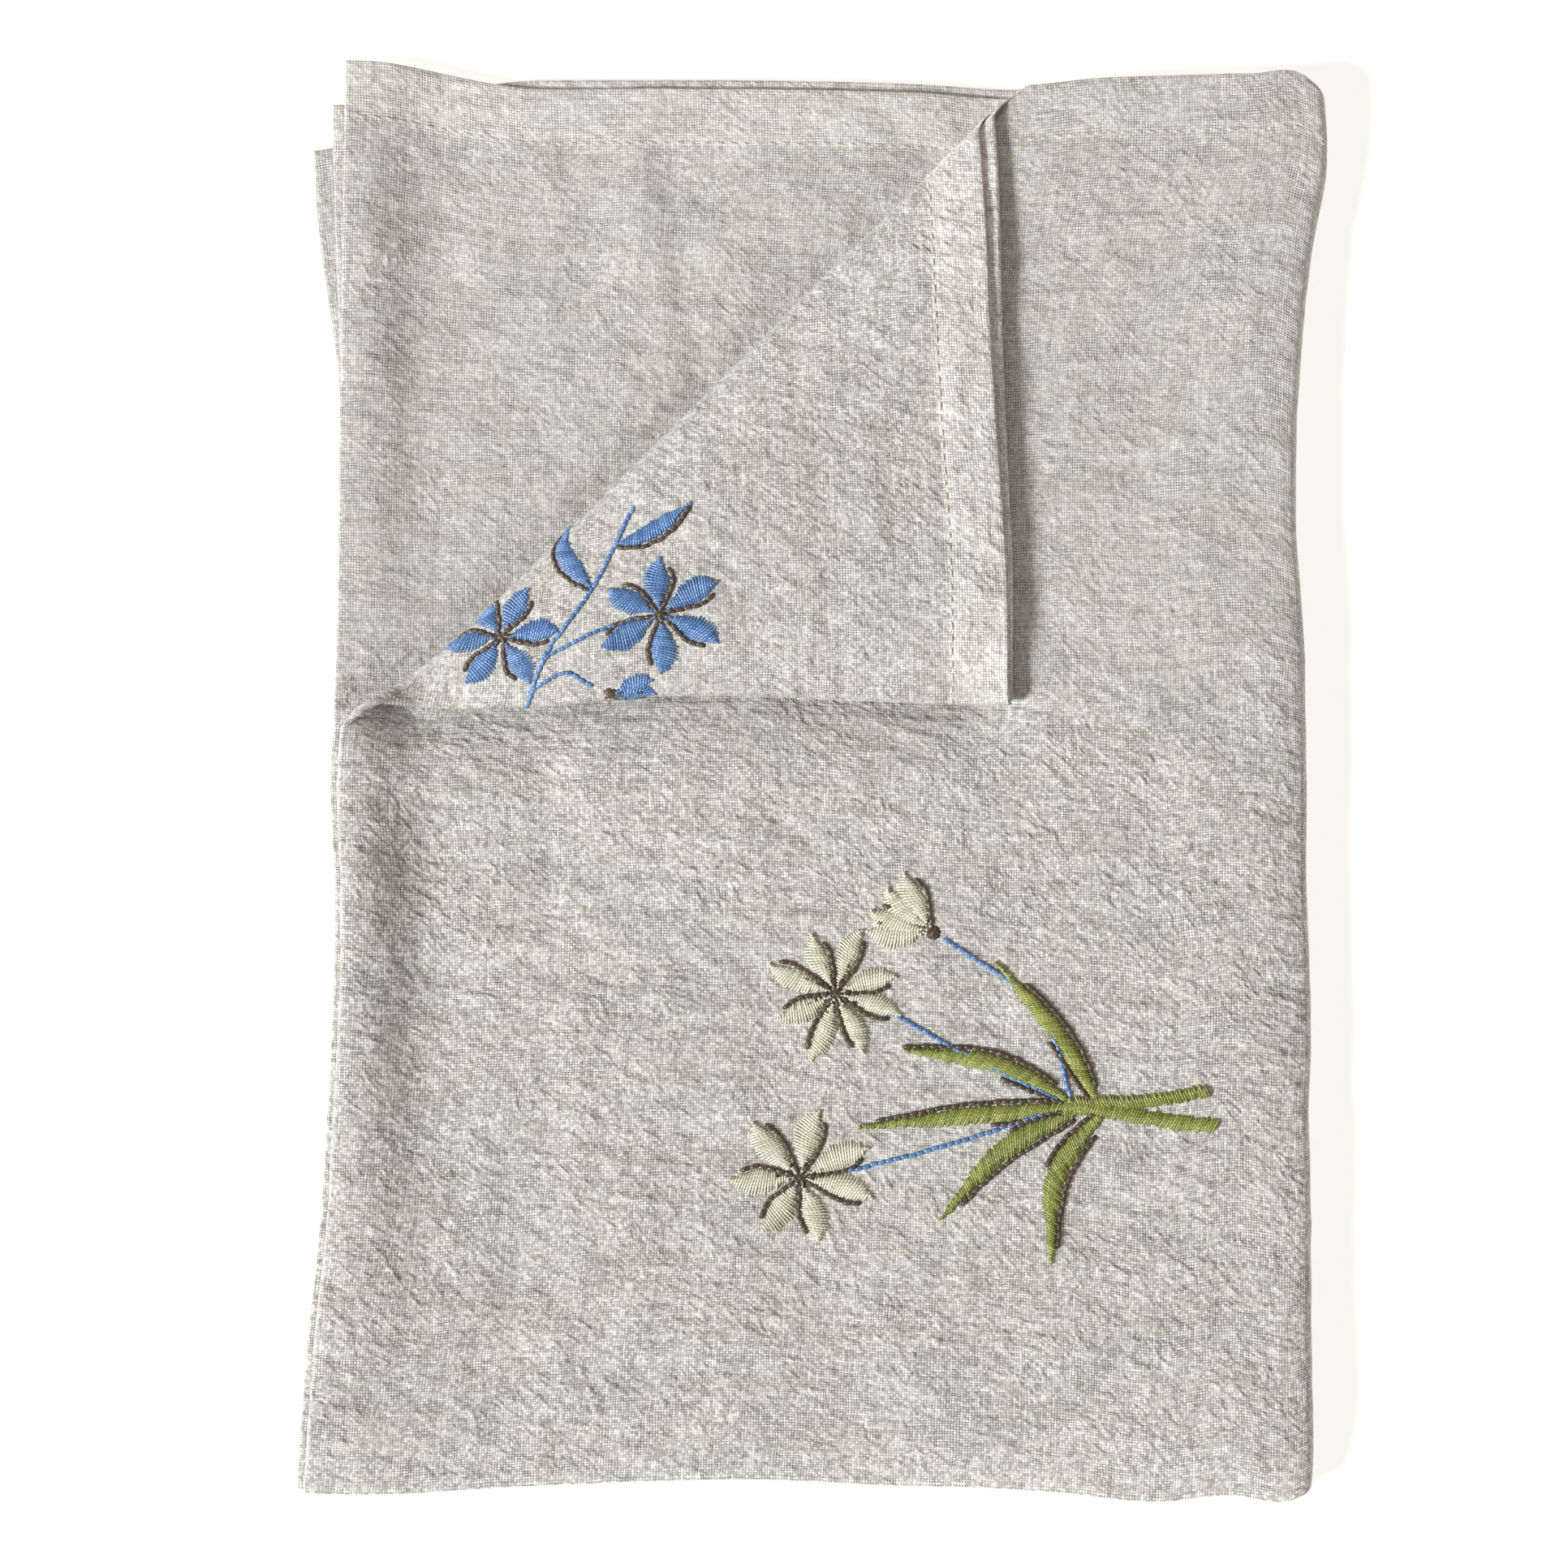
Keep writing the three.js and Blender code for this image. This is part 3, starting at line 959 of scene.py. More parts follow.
@dataclass(frozen=True)
class ClothFinish:
    """Crinkled plain weave of oatmeal cotton and linen.

    Attributes:
        pitch: The space from one thread to the next.
        oatmeal: The cloth's main colour.
        warm: The colour of its darker, warmer patches.
        cool: The colour of its cooler patches.
        fleck: The colour of its flecks.
        pore_shade_depth: How dark the painted shade in the gaps between threads is.
        grain_depth: How much one crossing of threads differs from the next.
        streak_depth: How strong the thick and thin threads show.
        mottle_depth: How much small patches of thread differ.
        hem_light: How much lighter the hems are at the upper left and on the flap.
        flap_hem_light: How much lighter still they are on the flap.
        hem_depth: How deep the hems are.
        width: The cloth's width.
        flap_span: From where to where along the cloth the flap's shown side lies.
        span_step: How far along the cloth a change at that span's ends takes.
        wander: How the threads wander, and by how many threads in wander_threads.
        near_looseness: Small patches of loose weave, with more painted shade in its gaps.
        far_looseness: Large ones.
        slubs_along: The thick and thin threads that run along the cloth.
        slubs_across: Those that run across it.
        bands_along: The warmer bands along the cloth.
        bands_across: Those across it.
        tints: The cooler patches.
        fleck_cells: The cells that hold a fleck each.
        fleck_choice: Where the flecks are kept.
        crumple: How the puckers wander, and how far in crumple_span.
        clusters: Where the puckers gather.
        leaning: The puckers that run down to the right.
        rising: Those that run up to the right.
        level: The ripples between them.
        soft: The soft wrinkles under all of them.
        mottle: The small patches of darker and lighter thread.
        heights: How high the puckers, ripples, soft wrinkles, weave and slubs stand.
        liveliness: How strong all that is at the upper left, and how much more on the front and flap.
        front_top: The Y over which the front's greater strength ends.
    """

    pitch: float = 0.466
    oatmeal: Colour = (0.632, 0.607, 0.568)
    warm: Colour = (0.455, 0.42, 0.365)
    cool: Colour = (0.59, 0.594, 0.588)
    fleck: Colour = (0.12, 0.10, 0.075)
    pore_shade_depth: float = 0.9
    grain_depth: float = 0.48
    streak_depth: float = 0.46
    mottle_depth: float = 0.22
    hem_light: float = 0.12
    flap_hem_light: float = 0.08
    hem_depth: float = 11.0
    width: float = 500.0
    flap_span: tuple[float, float] = (200.0, 340.0)
    span_step: float = 5.0
    wander: Grain = Grain(5.0, 5.0, detail=2.0)
    wander_threads: float = 1.6
    near_looseness: Grain = Grain(2.6, 2.1)
    far_looseness: Grain = Grain(9.0, 9.0, detail=2.0)
    slubs_along: Grain = Grain(14.0, 0.55, roughness=0.6)
    slubs_across: Grain = Grain(0.5, 9.0, roughness=0.6)
    bands_along: Grain = Grain(26.0, 3.2, detail=3.0, roughness=0.6)
    bands_across: Grain = Grain(3.0, 17.0, detail=3.0, roughness=0.6)
    tints: Grain = Grain(26.0, 15.0, detail=2.0)
    fleck_cells: Grain = Grain(11.0, 11.0)
    fleck_choice: Grain = Grain(17.0, 17.0)
    crumple: Grain = Grain(14.0, 14.0)
    crumple_span: float = 3.6
    clusters: Grain = Grain(13.0, 13.0, detail=2.0)
    leaning: Grain = Grain(2.8, 1.3, -40.0)
    rising: Grain = Grain(2.4, 1.4, 28.0)
    level: Grain = Grain(5.0, 1.6, -5.0)
    soft: Grain = Grain(8.0, 3.0, -16.0, detail=2.0)
    mottle: Grain = Grain(1.5, 1.3, detail=2.0, roughness=0.6)
    heights: tuple[float, ...] = (0.3, 0.2, 0.85, 0.05, 0.05)
    liveliness: tuple[float, float, float] = (0.78, 0.47, 0.36)
    front_top: tuple[float, float] = (0.0, 30.0)

    def material(self) -> bpy.types.Material:
        """Makes the material.

        Returns:
            The cloth's material.
        """
        palette = Palette("oatmeal_cloth")
        flat = palette.flat(FLAT_LAYER)
        above = palette.seen_from_above()
        along, across = palette.parts(flat)
        _, up_the_towel = palette.parts(above)

        # the parts of the towel that differ: the flap, the low front and the hems
        flap_start, flap_end = self.flap_span
        past_flap = along.ramp(flap_end * MM, (flap_end + self.span_step) * MM)
        in_flap = along.ramp(flap_start * MM, (flap_start + self.span_step) * MM) * (1.0 - past_flap)
        low_front = (1.0 - up_the_towel.ramp(*(y * MM for y in self.front_top))) * (1.0 - in_flap)
        calm, front_more, flap_more = self.liveliness
        lively = calm + low_front * front_more + in_flap * flap_more
        from_hem = across.math("MINIMUM", self.width * MM - across)
        in_hem = 1.0 - from_hem.ramp((self.hem_depth - 1.0) * MM, self.hem_depth * MM)

        # the weave, with painted shade in the gaps between threads, and its thick and thin threads
        wander = palette.noise(flat, self.wander) * self.wander_threads
        count_along = along / (self.pitch * MM) + wander
        count_across = across / (self.pitch * MM) + wander
        thread_along = abs((count_along * math.pi).wave())
        thread_across = abs((count_across * math.pi).wave())
        numbers = {0: count_along.math("FLOOR"), 1: count_across.math("FLOOR")}
        crossing = {"Vector": palette.node("ShaderNodeCombineXYZ", inputs=numbers)}
        grain = palette.node("ShaderNodeTexWhiteNoise", {"noise_dimensions": "2D"}, crossing) - 0.5
        looseness = palette.noise(flat, self.near_looseness) * 0.55
        looseness = looseness + palette.noise(flat, self.far_looseness) * 0.45
        # painted shade in the gaps between threads, stronger where the weave is loose
        pore_shade = ((1.0 - thread_along) * (1.0 - thread_across)).ramp(0.04, 0.5)
        pore_shade = pore_shade * (0.15 + looseness.ramp(0.38, 0.62) * 0.85)
        streaks = palette.noise(flat, self.slubs_along) * 1.1
        streaks = streaks + palette.noise(flat, self.slubs_across) * 0.9 - 1.0

        # the colour: cooler patches, warmer bands and dark flecks
        heather = palette.noise(flat, self.bands_along) * 0.6 + palette.noise(flat, self.bands_across) * 0.4
        tint = palette.noise(flat, self.tints)
        colour = palette.mix(tint.ramp(0.45, 0.8) * 0.6, self.oatmeal, self.cool)
        colour = palette.mix(heather.ramp(0.47, 0.68) * 0.6, colour, self.warm)
        cells = {"Vector": palette.stretched(flat, self.fleck_cells), "Scale": 1.0}
        cell = palette.node("ShaderNodeTexVoronoi", {"feature": "F1"}, cells, output="Distance")
        chosen = palette.noise(flat, self.fleck_choice)
        flecks = (1.0 - cell.ramp(0.018, 0.045)) * chosen.ramp(0.5, 0.56)
        colour = palette.mix(flecks * 0.7, colour, self.fleck)

        # the finest wrinkles
        crumpled = palette.warped(above, self.crumple, self.crumple_span)
        cluster = palette.noise(above, self.clusters).ramp(0.3, 0.7)
        puckers = palette.noise(crumpled, self.leaning).ramp(0.48, 0.84) * (0.15 + cluster * 0.85)
        puckers = puckers + palette.noise(crumpled, self.rising).ramp(0.5, 0.84) * 0.45
        ripples = palette.noise(crumpled, self.level).ramp(0.42, 0.8) * (1.0 - cluster * 0.5)
        soft = palette.noise(crumpled, self.soft)
        pucker_height, ripple_height, soft_height, weave_height, slub_height = self.heights
        relief = puckers * pucker_height + ripples * ripple_height + soft * soft_height
        weave = thread_along * thread_across * weave_height + streaks * slub_height
        height = (relief * lively + weave) * MM

        # how light each thread is, with painted highlight on its crown and painted shade at its sides
        hem_end = (flap_end + self.span_step) * MM
        past_hem = along.ramp(hem_end, hem_end + self.span_step * MM)
        hem_tone = in_hem * (self.hem_light + in_flap * self.flap_hem_light) * (1.0 - past_hem)
        mottle = palette.noise(flat, self.mottle) - 0.5
        light = 1.0 + streaks * self.streak_depth + grain * lively * self.grain_depth + hem_tone
        light = light + mottle * self.mottle_depth
        # painted highlight on the threads' crowns, painted shade at their sides and in the gaps between them
        light = light * (0.9 + (thread_along + thread_across) * 0.08) * (1.0 - pore_shade * self.pore_shade_depth)
        colour = palette.mix(1.0, colour, palette.grey(light), "MULTIPLY")
        palette.set(
            Base_Color=colour,
            Roughness=0.92,
            Specular_IOR_Level=0.25,
            Sheen_Weight=0.12,
            Sheen_Roughness=0.5,
            Normal=palette.bump(height),
        )
        return palette.material


@dataclass(frozen=True)
class ThreadFinish:
    """Twisted thread, lighter and darker from stitch to stitch, with painted shade in the grooves between
    its plies.

    Attributes:
        name: The thread's colour in words.
        dark: Its darker colour.
        light: Its lighter colour.
        roughness: How dull it is.
        twist: How long one turn of its plies is.
        ply_height: How high the plies stand.
        patches: The patches of darker and lighter thread.
    """

    name: str
    dark: Colour
    light: Colour
    roughness: float = 0.36
    twist: float = 0.7
    ply_height: float = 0.04
    patches: Grain = Grain(1.3, 1.3, detail=2.0, roughness=0.6)

    def material(self) -> bpy.types.Material:
        """Makes the material.

        Returns:
            The thread's material.
        """
        palette = Palette(f"{self.name}_thread")
        flat = palette.flat(FLAT_LAYER)
        along, around = palette.parts(flat)
        number = around.math("FLOOR")
        tone = palette.node("ShaderNodeTexWhiteNoise", {"noise_dimensions": "1D"}, {"W": number})
        shade = palette.noise(palette.seen_from_above(), self.patches)
        colour = palette.mix(shade.ramp(0.3, 0.7) * 0.4 + tone * 0.6, self.dark, self.light)
        ply_relief_and_shade = 0.5 + ((along / (self.twist * MM) + around) * (2.0 * math.pi)).wave() * 0.5
        # painted shade in the grooves between plies and painted highlight on their crowns; the same profile
        # makes the bump
        colour = palette.mix(1.0, colour, palette.grey(0.82 + ply_relief_and_shade * 0.26), "MULTIPLY")
        palette.set(
            Base_Color=colour,
            Roughness=self.roughness,
            Specular_IOR_Level=0.75,
            Sheen_Weight=0.15,
            Normal=palette.bump(ply_relief_and_shade * (self.ply_height * MM)),
        )
        return palette.material


@dataclass(frozen=True)
class FloorFinish:
    """Plain pale paper, which the towel lies on, made to glow though it is no lamp: painted light that lifts
    the shadows cast on it.

    Attributes:
        paper: The paper's lighter colour.
        shade: Its darker colour.
        patches: The patches of the two.
        painted_glow: The colour of the paper's painted glow.
        painted_glow_strength: How strong that painted glow is.
    """

    paper: Colour = (0.93, 0.93, 0.93)
    shade: Colour = (0.90, 0.90, 0.90)
    patches: Grain = Grain(60.0, 60.0, detail=3.0)
    painted_glow: Colour = (1.0, 0.985, 0.965)
    painted_glow_strength: float = 0.58

    def material(self) -> bpy.types.Material:
        """Makes the material.

        Returns:
            The floor's material.
        """
        palette = Palette("pale_paper")
        grain = palette.noise(palette.seen_from_above(), self.patches)
        palette.set(
            Base_Color=palette.mix(grain, self.paper, self.shade),
            Roughness=0.95,
            # painted light: the paper glows, lifting the towel's shadows on it and lighting the towel's
            # lower edges
            Emission_Color=(*self.painted_glow, 1.0),
            Emission_Strength=self.painted_glow_strength,
        )
        return palette.material


def new_piece(name: str, points: Array, faces: list, flat: Array) -> bpy.types.Object:
    """Makes a smooth mesh object at the origin.

    Args:
        name: The piece's name.
        points: Its points in metres, one to a row.
        faces: Its faces, as lists of points' numbers.
        flat: The flat coordinates of each face corner in turn, in metres.

    Returns:
        The new object.
    """
    mesh = bpy.data.meshes.new(name)
    mesh.from_pydata(points.tolist(), [], faces)
    layer = mesh.uv_layers.new(name=FLAT_LAYER)
    layer.data.foreach_set("uv", np.ascontiguousarray(flat, dtype=np.float32).ravel())
    mesh.polygons.foreach_set("use_smooth", np.ones(len(mesh.polygons), dtype=bool))
    mesh.update()
    piece = bpy.data.objects.new(name, mesh)
    bpy.context.collection.objects.link(piece)
    return piece


@dataclass
class Towel:
    """The cloth itself: one closed thin sheet on the folds.

    Attributes:
        cloth: The folded shape.
        fine: The space between the mesh's lines where the cloth shows.
        coarse: The space along the cloth between them where it is hidden.
        coarse_across: That space across the cloth.
        shown: How far from the cloth's end and from its left crease the fine lines reach.
        turn_steps: How many steps make the round of the right, left and bottom folds.
        crease_steps: How many steps make the round of the flap's crease.
        rim_lines: Where the lines near the rim are.
        hem_lines: Where the lines beside a hem's stitches are, from the stitches.
        hem_gap: The space between the last of those and the fine lines.
        piece: The towel, once it is built.
    """

    cloth: FoldedCloth
    fine: float = 1.97
    coarse: float = 9.0
    coarse_across: float = 11.7
    shown: float = 122.0
    turn_steps: tuple[int, int, int] = (12, 8, 6)
    crease_steps: int = 9
    rim_lines: tuple[float, ...] = (0.0, 0.12, 0.35, 0.8)
    hem_lines: tuple[float, ...] = (-1.6, -0.9, -0.3, 0.0, 0.3, 0.8, 1.4)
    hem_gap: float = 1.0
    piece: bpy.types.Object | None = None

    def stretch(self, start: float, end: float, step: float) -> Array:
        """Spaces lines evenly from a start up to, but not at, an end."""
        return np.linspace(start, end, max(1, round((end - start) / step)), endpoint=False)

    def lines_along(self) -> Array:
        """Chooses the mesh's lines along the cloth.

        Returns:
            Their places.
        """
        cloth = self.cloth
        right_steps, left_steps, _ = self.turn_steps
        rim = np.array(self.rim_lines)
        first_turn = cloth.length / 2 - cloth.left.quarter - cloth.left_to_right
        last_turn = cloth.length - first_turn
        turn = cloth.right.quarter
        left = cloth.left.quarter
        middle = cloth.length / 2
        return np.concatenate((
            rim[:-1],
            self.stretch(rim[-1], self.shown, self.fine),
            self.stretch(self.shown, first_turn - turn, self.coarse),
            self.stretch(first_turn - turn, first_turn + turn, 2 * turn / right_steps),
            self.stretch(first_turn + turn, middle - left - self.shown, self.coarse),
            self.stretch(middle - left - self.shown, middle - left, self.fine),
            self.stretch(middle - left, middle + left, 2 * left / left_steps),
            self.stretch(middle + left, last_turn - turn, self.fine),
            self.stretch(last_turn - turn, last_turn + turn, 2 * turn / right_steps),
            self.stretch(last_turn + turn, cloth.length - rim[-1], self.coarse),
            cloth.length - rim[::-1],
        ))

    def lines_across(self) -> Array:
        """Chooses the mesh's lines across the cloth.

        Returns:
            Their places.
        """
        cloth = self.cloth
        rim = np.array(self.rim_lines)
        bottom = cloth.bottom.quarter
        middle = cloth.width / 2
        hem_lines = cloth.hem_stitch_depth + np.array(self.hem_lines)
        far_hem = cloth.width - cloth.hem_depth
        return np.concatenate((
            rim[:-1],
            self.stretch(rim[-1], hem_lines[0], self.fine),
            hem_lines,
            self.stretch(hem_lines[-1] + self.hem_gap, middle - bottom, self.fine),
            self.stretch(middle - bottom, middle + bottom, 2 * bottom / self.turn_steps[2]),
            self.stretch(middle + bottom, far_hem - cloth.hem_step, self.coarse_across),
            np.array((far_hem - cloth.hem_step, far_hem)),
            cloth.width - rim[::-1],
        ))

    def cut_by_crease(self, faces: list, points: list, past: Array) -> list:
        """Cuts faces along lines beside the flap's crease, so that its round is even.

        Args:
            faces: The faces, as lists of points' numbers.
            points: The points along and across, to which the cuts' points are added.
            past: Each point's distance past the crease.

        Returns:
            The faces after the cuts.
        """
        levels = np.linspace(0.0, 2 * self.cloth.flap.quarter, self.crease_steps + 1)
        corners = np.array(faces)
        low = past[corners].min(axis=1)
        high = past[corners].max(axis=1)
        crosses = (np.searchsorted(levels, low, "right") < np.searchsorted(levels, high, "left"))
        crosses &= low > -self.cloth.length / 2
        kept = corners[~crosses].tolist()
        made: dict[tuple[int, int, int], int] = {}
        depth = dict(enumerate(past.tolist()))
        for face in corners[crosses].tolist():
            ring = self.ring_with_cuts(face, points, depth, levels, made)
            floors = [-math.inf, *levels]
            roofs = [*levels, math.inf]
            for floor, roof in zip(floors, roofs):
                band = [number for number in ring if floor <= depth[number] <= roof]
                if len(band) > 2:
                    kept.append(band)
        return kept

    def ring_with_cuts(self, face: list, points: list, depth: dict, levels: Array, made: dict) -> list:
        """Walks round a face and adds a point wherever an edge meets a level.

        Args:
            face: The face's points' numbers.
            points: The points along and across, to which new ones are added.
            depth: Each point's distance past the crease.
            levels: The distances at which to cut.
            made: The points made so far, by edge and level.

        Returns:
            The numbers of the points round the face.
        """
        ring = []
        for start, end in zip(face, face[1:] + face[:1]):
            ring.append(start)
            rising = depth[end] > depth[start]
            for index in range(len(levels)) if rising else range(len(levels) - 1, -1, -1):
                share = (levels[index] - depth[start]) / (depth[end] - depth[start] or 1.0)
                if not 0.0 < share < 1.0:
                    continue
                key = (min(start, end), max(start, end), index)
                if key not in made:
                    made[key] = len(points)
                    depth[len(points)] = float(levels[index])
                    points.append([a + (b - a) * share for a, b in zip(points[start], points[end])])
                ring.append(made[key])
        return ring

    def build(self) -> bpy.types.Object:
        """Makes the sheet's mesh.

        Returns:
            The towel.
        """
        along = self.lines_along()
        across = self.lines_across()
        rows = len(along)
        columns = len(across)
        grid = np.stack(np.meshgrid(along, across, indexing="ij"), axis=-1).reshape(-1, 2)
        outer = np.arange(rows * columns).reshape(rows, columns)
        inner = outer.copy()
        inside = grid.reshape(rows, columns, 2)[1:-1, 1:-1].reshape(-1, 2)
        inner[1:-1, 1:-1] = len(grid) + np.arange(len(inside)).reshape(rows - 2, columns - 2)
        points = np.concatenate((grid, inside))
        top = np.stack((outer[:-1, :-1], outer[:-1, 1:], outer[1:, 1:], outer[1:, :-1]), axis=-1)
        under = np.stack((inner[:-1, :-1], inner[1:, :-1], inner[1:, 1:], inner[:-1, 1:]), axis=-1)
        past = self.cloth.past_on_cloth(points[:, 0], points[:, 1])
        flat = points.tolist()
        top_faces = self.cut_by_crease(top.reshape(-1, 4).tolist(), flat, past)
        on_top = np.ones(len(flat), dtype=bool)
        on_top[len(grid):len(points)] = False
        late = self.cloth.past_on_cloth(*np.array(flat).T)
        under_faces = self.cut_by_crease(under.reshape(-1, 4).tolist(), flat, late)
        on_top = np.concatenate((on_top, np.zeros(len(flat) - len(on_top), dtype=bool)))

        place_along, place_across = np.array(flat).T
        outer_lift, inner_lift = self.cloth.lifts(place_along, place_across)
        placed = self.cloth.place(place_along, place_across, np.where(on_top, outer_lift, inner_lift))
        faces = top_faces + under_faces
        corners = np.concatenate([np.asarray(face) for face in faces])
        self.piece = new_piece("towel_cloth", placed, faces, np.array(flat)[corners] * MM)
        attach(self.piece, "root")
        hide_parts("towel")
        return self.piece

    def dress(self, finish: ClothFinish) -> None:
        """Gives the towel its cloth."""
        self.piece.data.materials.append(finish.material())


def to_left(heading: Array) -> Array:
    """Turns directions on the cloth to their left."""
    return np.stack((-heading[..., 1], heading[..., 0]), axis=-1)


class Stitch(Enum):
    """The kinds of stitch, as width, height above the cloth, and how far it laps over the next."""

    HEM = (0.46, 0.10, 0.0)
    SATIN = (0.52, 0.90, 0.0)
    OUTLINE = (0.90, 0.50, 0.25)
    STALK = (0.85, 0.42, 0.25)

    @property
    def width(self) -> float:
        """How wide the thread lies."""
        return self.value[0]

    @property
    def height(self) -> float:
        """How high its middle stands."""
        return self.value[1]

    @property
    def lap(self) -> float:
        """How far it laps over the stitches at its ends, as a share of its length."""
        return self.value[2]


@dataclass
class ThreadWork:
    """All stitches of one thread, joined in one mesh.

    Attributes:
        cloth: The folded shape that they are sewn into.
        name: The piece's name.
        slot: The finish that the record lists. It is not used.
        sides: How many sides a stitch has.
        stations: Where along a stitch its rings are.
        sink: How far its ends go into the cloth.
        arch: How its middle line rises from its ends, as a power, steeper when smaller.
        stand: The share of its height at which its middle line stands.
        fullness: How soon it has its full width.
        flatness: How high it is for its width.
        edge: How far its flat coordinates stay off the next stitch's.
        rows: The stitches so far: both ends, width and height.
        piece: The joined stitches, once they are built.
    """

    cloth: FoldedCloth
    name: str
    slot: str
    sides: int = 5
    stations: tuple[float, ...] = (0.08, 0.34, 0.66, 0.92)
    sink: float = 0.22
    arch: float = 0.65
    stand: float = 0.6
    fullness: float = 1.7
    flatness: float = 0.8
    edge: float = 0.01
    rows: list[tuple[float, ...]] = field(default_factory=list)
    piece: bpy.types.Object | None = None

    def add(self, start: Point, end: Point, kind: Stitch) -> None:
        """Adds a stitch between two places on the cloth, given along and across."""
        over = ((end[0] - start[0]) * kind.lap, (end[1] - start[1]) * kind.lap)
        first = (start[0] - over[0], start[1] - over[1])
        last = (end[0] + over[0], end[1] + over[1])
        self.rows.append((*first, *last, kind.width, kind.height))

    def build(self) -> bpy.types.Object:
        """Makes the joined mesh of all stitches.

        Returns:
            The piece.
        """
        rows = np.array(self.rows)
        start = rows[:, None, 0:2]
        run = rows[:, None, 2:4] - start
        long = np.linalg.norm(run, axis=-1, keepdims=True)
        aside = to_left(run) / long
        share = np.array((0.0, *self.stations, 1.0))[None, :, None]
        arch = np.sin(math.pi * share) ** self.arch
        middle = start + run * share
        surface, _ = self.cloth.lifts(middle[..., 0], middle[..., 1])
        lift = surface[..., None] - self.sink + arch * (self.sink + rows[:, None, 5:6] * self.stand)

        turn = np.arange(self.sides) * (2.0 * math.pi / self.sides)
        half = rows[:, None, 4:5] / 2 * np.minimum(arch * self.fullness, 1.0)
        wide = half * np.cos(turn)
        high = half * np.sin(turn) * self.flatness
        along = middle[..., 0:1] + aside[..., 0:1] * wide
        across = middle[..., 1:2] + aside[..., 1:2] * wide
        points = self.cloth.place(along, across, lift + high)

        rings = len(self.stations) + 2
        each = rings * self.sides
        ring, side = np.meshgrid(np.arange(rings - 1), np.arange(self.sides), indexing="ij")
        following = (side + 1) % self.sides
        quad = np.stack((
            ring * self.sides + side,
            (ring + 1) * self.sides + side,
            (ring + 1) * self.sides + following,
            ring * self.sides + following,
        ), axis=-1).reshape(-1, 4)
        faces = (np.arange(len(rows))[:, None, None] * each + quad[None]).reshape(-1, 4)
        places = np.array((0.0, *self.stations, 1.0))
        flat_along = places[np.stack((ring, ring + 1, ring + 1, ring), axis=-1)].reshape(1, -1, 4) * long
        flat_around = np.stack((side, side, side + 1, side + 1), axis=-1).reshape(1, -1, 4) / self.sides
        flat_around = np.arange(len(rows))[:, None, None] + self.edge + flat_around * (1.0 - 2.0 * self.edge)
        flat = np.stack((flat_along * MM, flat_around), axis=-1).reshape(-1, 2)
        self.piece = new_piece(self.name, points.reshape(-1, 3), faces.tolist(), flat)
        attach(self.piece, "root")
        return self.piece

    def dress(self, finish: ThreadFinish) -> None:
        """Gives the stitches their thread."""
        self.piece.data.materials.append(finish.material())


@dataclass
class HemStitching:
    """The lines of machine stitches that hold the two hems.

    Attributes:
        thread: The thread that they are sewn with.
        pitch: The space from one stitch to the next.
        gap: The bare cloth between stitches.
        stray: How far a stitch may lie off its line.
        seed: The start of the random draw.
    """

    thread: ThreadWork
    pitch: float = 2.3
    gap: float = 0.5
    stray: float = 0.14
    seed: int = 21

    def build(self) -> bpy.types.Object:
        """Sews both hems from end to end.

        Returns:
            The stitches.
        """
        cloth = self.thread.cloth
        rng = np.random.default_rng(self.seed)
        for line in (cloth.hem_stitch_depth, cloth.width - cloth.hem_stitch_depth):
            for start in np.arange(self.pitch, cloth.length - self.pitch, self.pitch):
                offs = rng.uniform(-self.stray, self.stray, 3)
                end = start + self.pitch - self.gap + offs[2]
                self.thread.add((start, line + offs[0]), (end, line + offs[1]), Stitch.HEM)
        return self.thread.build()


class Outline(Enum):
    """How the half width of a satin shape grows and shrinks along its spine."""

    STRAP_LEAF = "strap leaf"
    POINTED_LEAF = "pointed leaf"
    PETAL = "petal"
    STALK = "stalk"

    def share(self, place: Array) -> Array:
        """Reads the half width as a share of the widest.

        Args:
            place: Places along the spine, from 0 to 1.

        Returns:
            The shares.
        """
        if self is Outline.STRAP_LEAF:
            return np.sqrt(np.clip(place * 3.0, 0.0, 1.0)) * np.clip((1.02 - place) * 2.2, 0.0, 1.0) ** 0.7
        if self is Outline.POINTED_LEAF:
            return np.sin(math.pi * place**0.85) ** 0.9
        if self is Outline.PETAL:
            return np.sin(math.pi * np.clip(place, 0.0, 1.0) ** 1.25) ** 0.8
        return np.ones_like(place)


def smooth_path(points: Sequence[Point], step: float) -> tuple[Array, Array, Array]:
    """Walks a soft curve through a few points in even steps.

    Args:
        points: The points, two or more.
        step: The length of a step.

    Returns:
        The places walked to, the directions there, and their shares of the way.
    """
    given = np.array(points, dtype=float)
    knots = np.concatenate(((0.0,), np.cumsum(np.linalg.norm(np.diff(given, axis=0), axis=1))))
    dense = np.linspace(0.0, knots[-1], 240)
    curve = np.stack([smooth_curve(knots, given[:, axis], dense) for axis in range(2)], axis=-1)
    length = np.concatenate(((0.0,), np.cumsum(np.linalg.norm(np.diff(curve, axis=0), axis=1))))
    stops = np.linspace(0.0, length[-1], max(2, round(length[-1] / step) + 1))
    walked = np.stack([np.interp(stops, length, curve[:, axis]) for axis in range(2)], axis=-1)
    heading = np.gradient(walked, axis=0)
    heading /= np.linalg.norm(heading, axis=1, keepdims=True)
    return walked, heading, stops / length[-1]


@dataclass(frozen=True)
class SatinShape:
    """A shape that is filled with satin stitches.

    Attributes:
        spine: The points that its spine goes through.
        half_width: Half its greatest width.
        outline: How its width changes along the spine.
    """

    spine: Sequence[Point]
    half_width: float
    outline: Outline

    def halves(self, share: Array) -> Array:
        """Reads its half width at shares of the spine's length."""
        return self.half_width * self.outline.share(share)


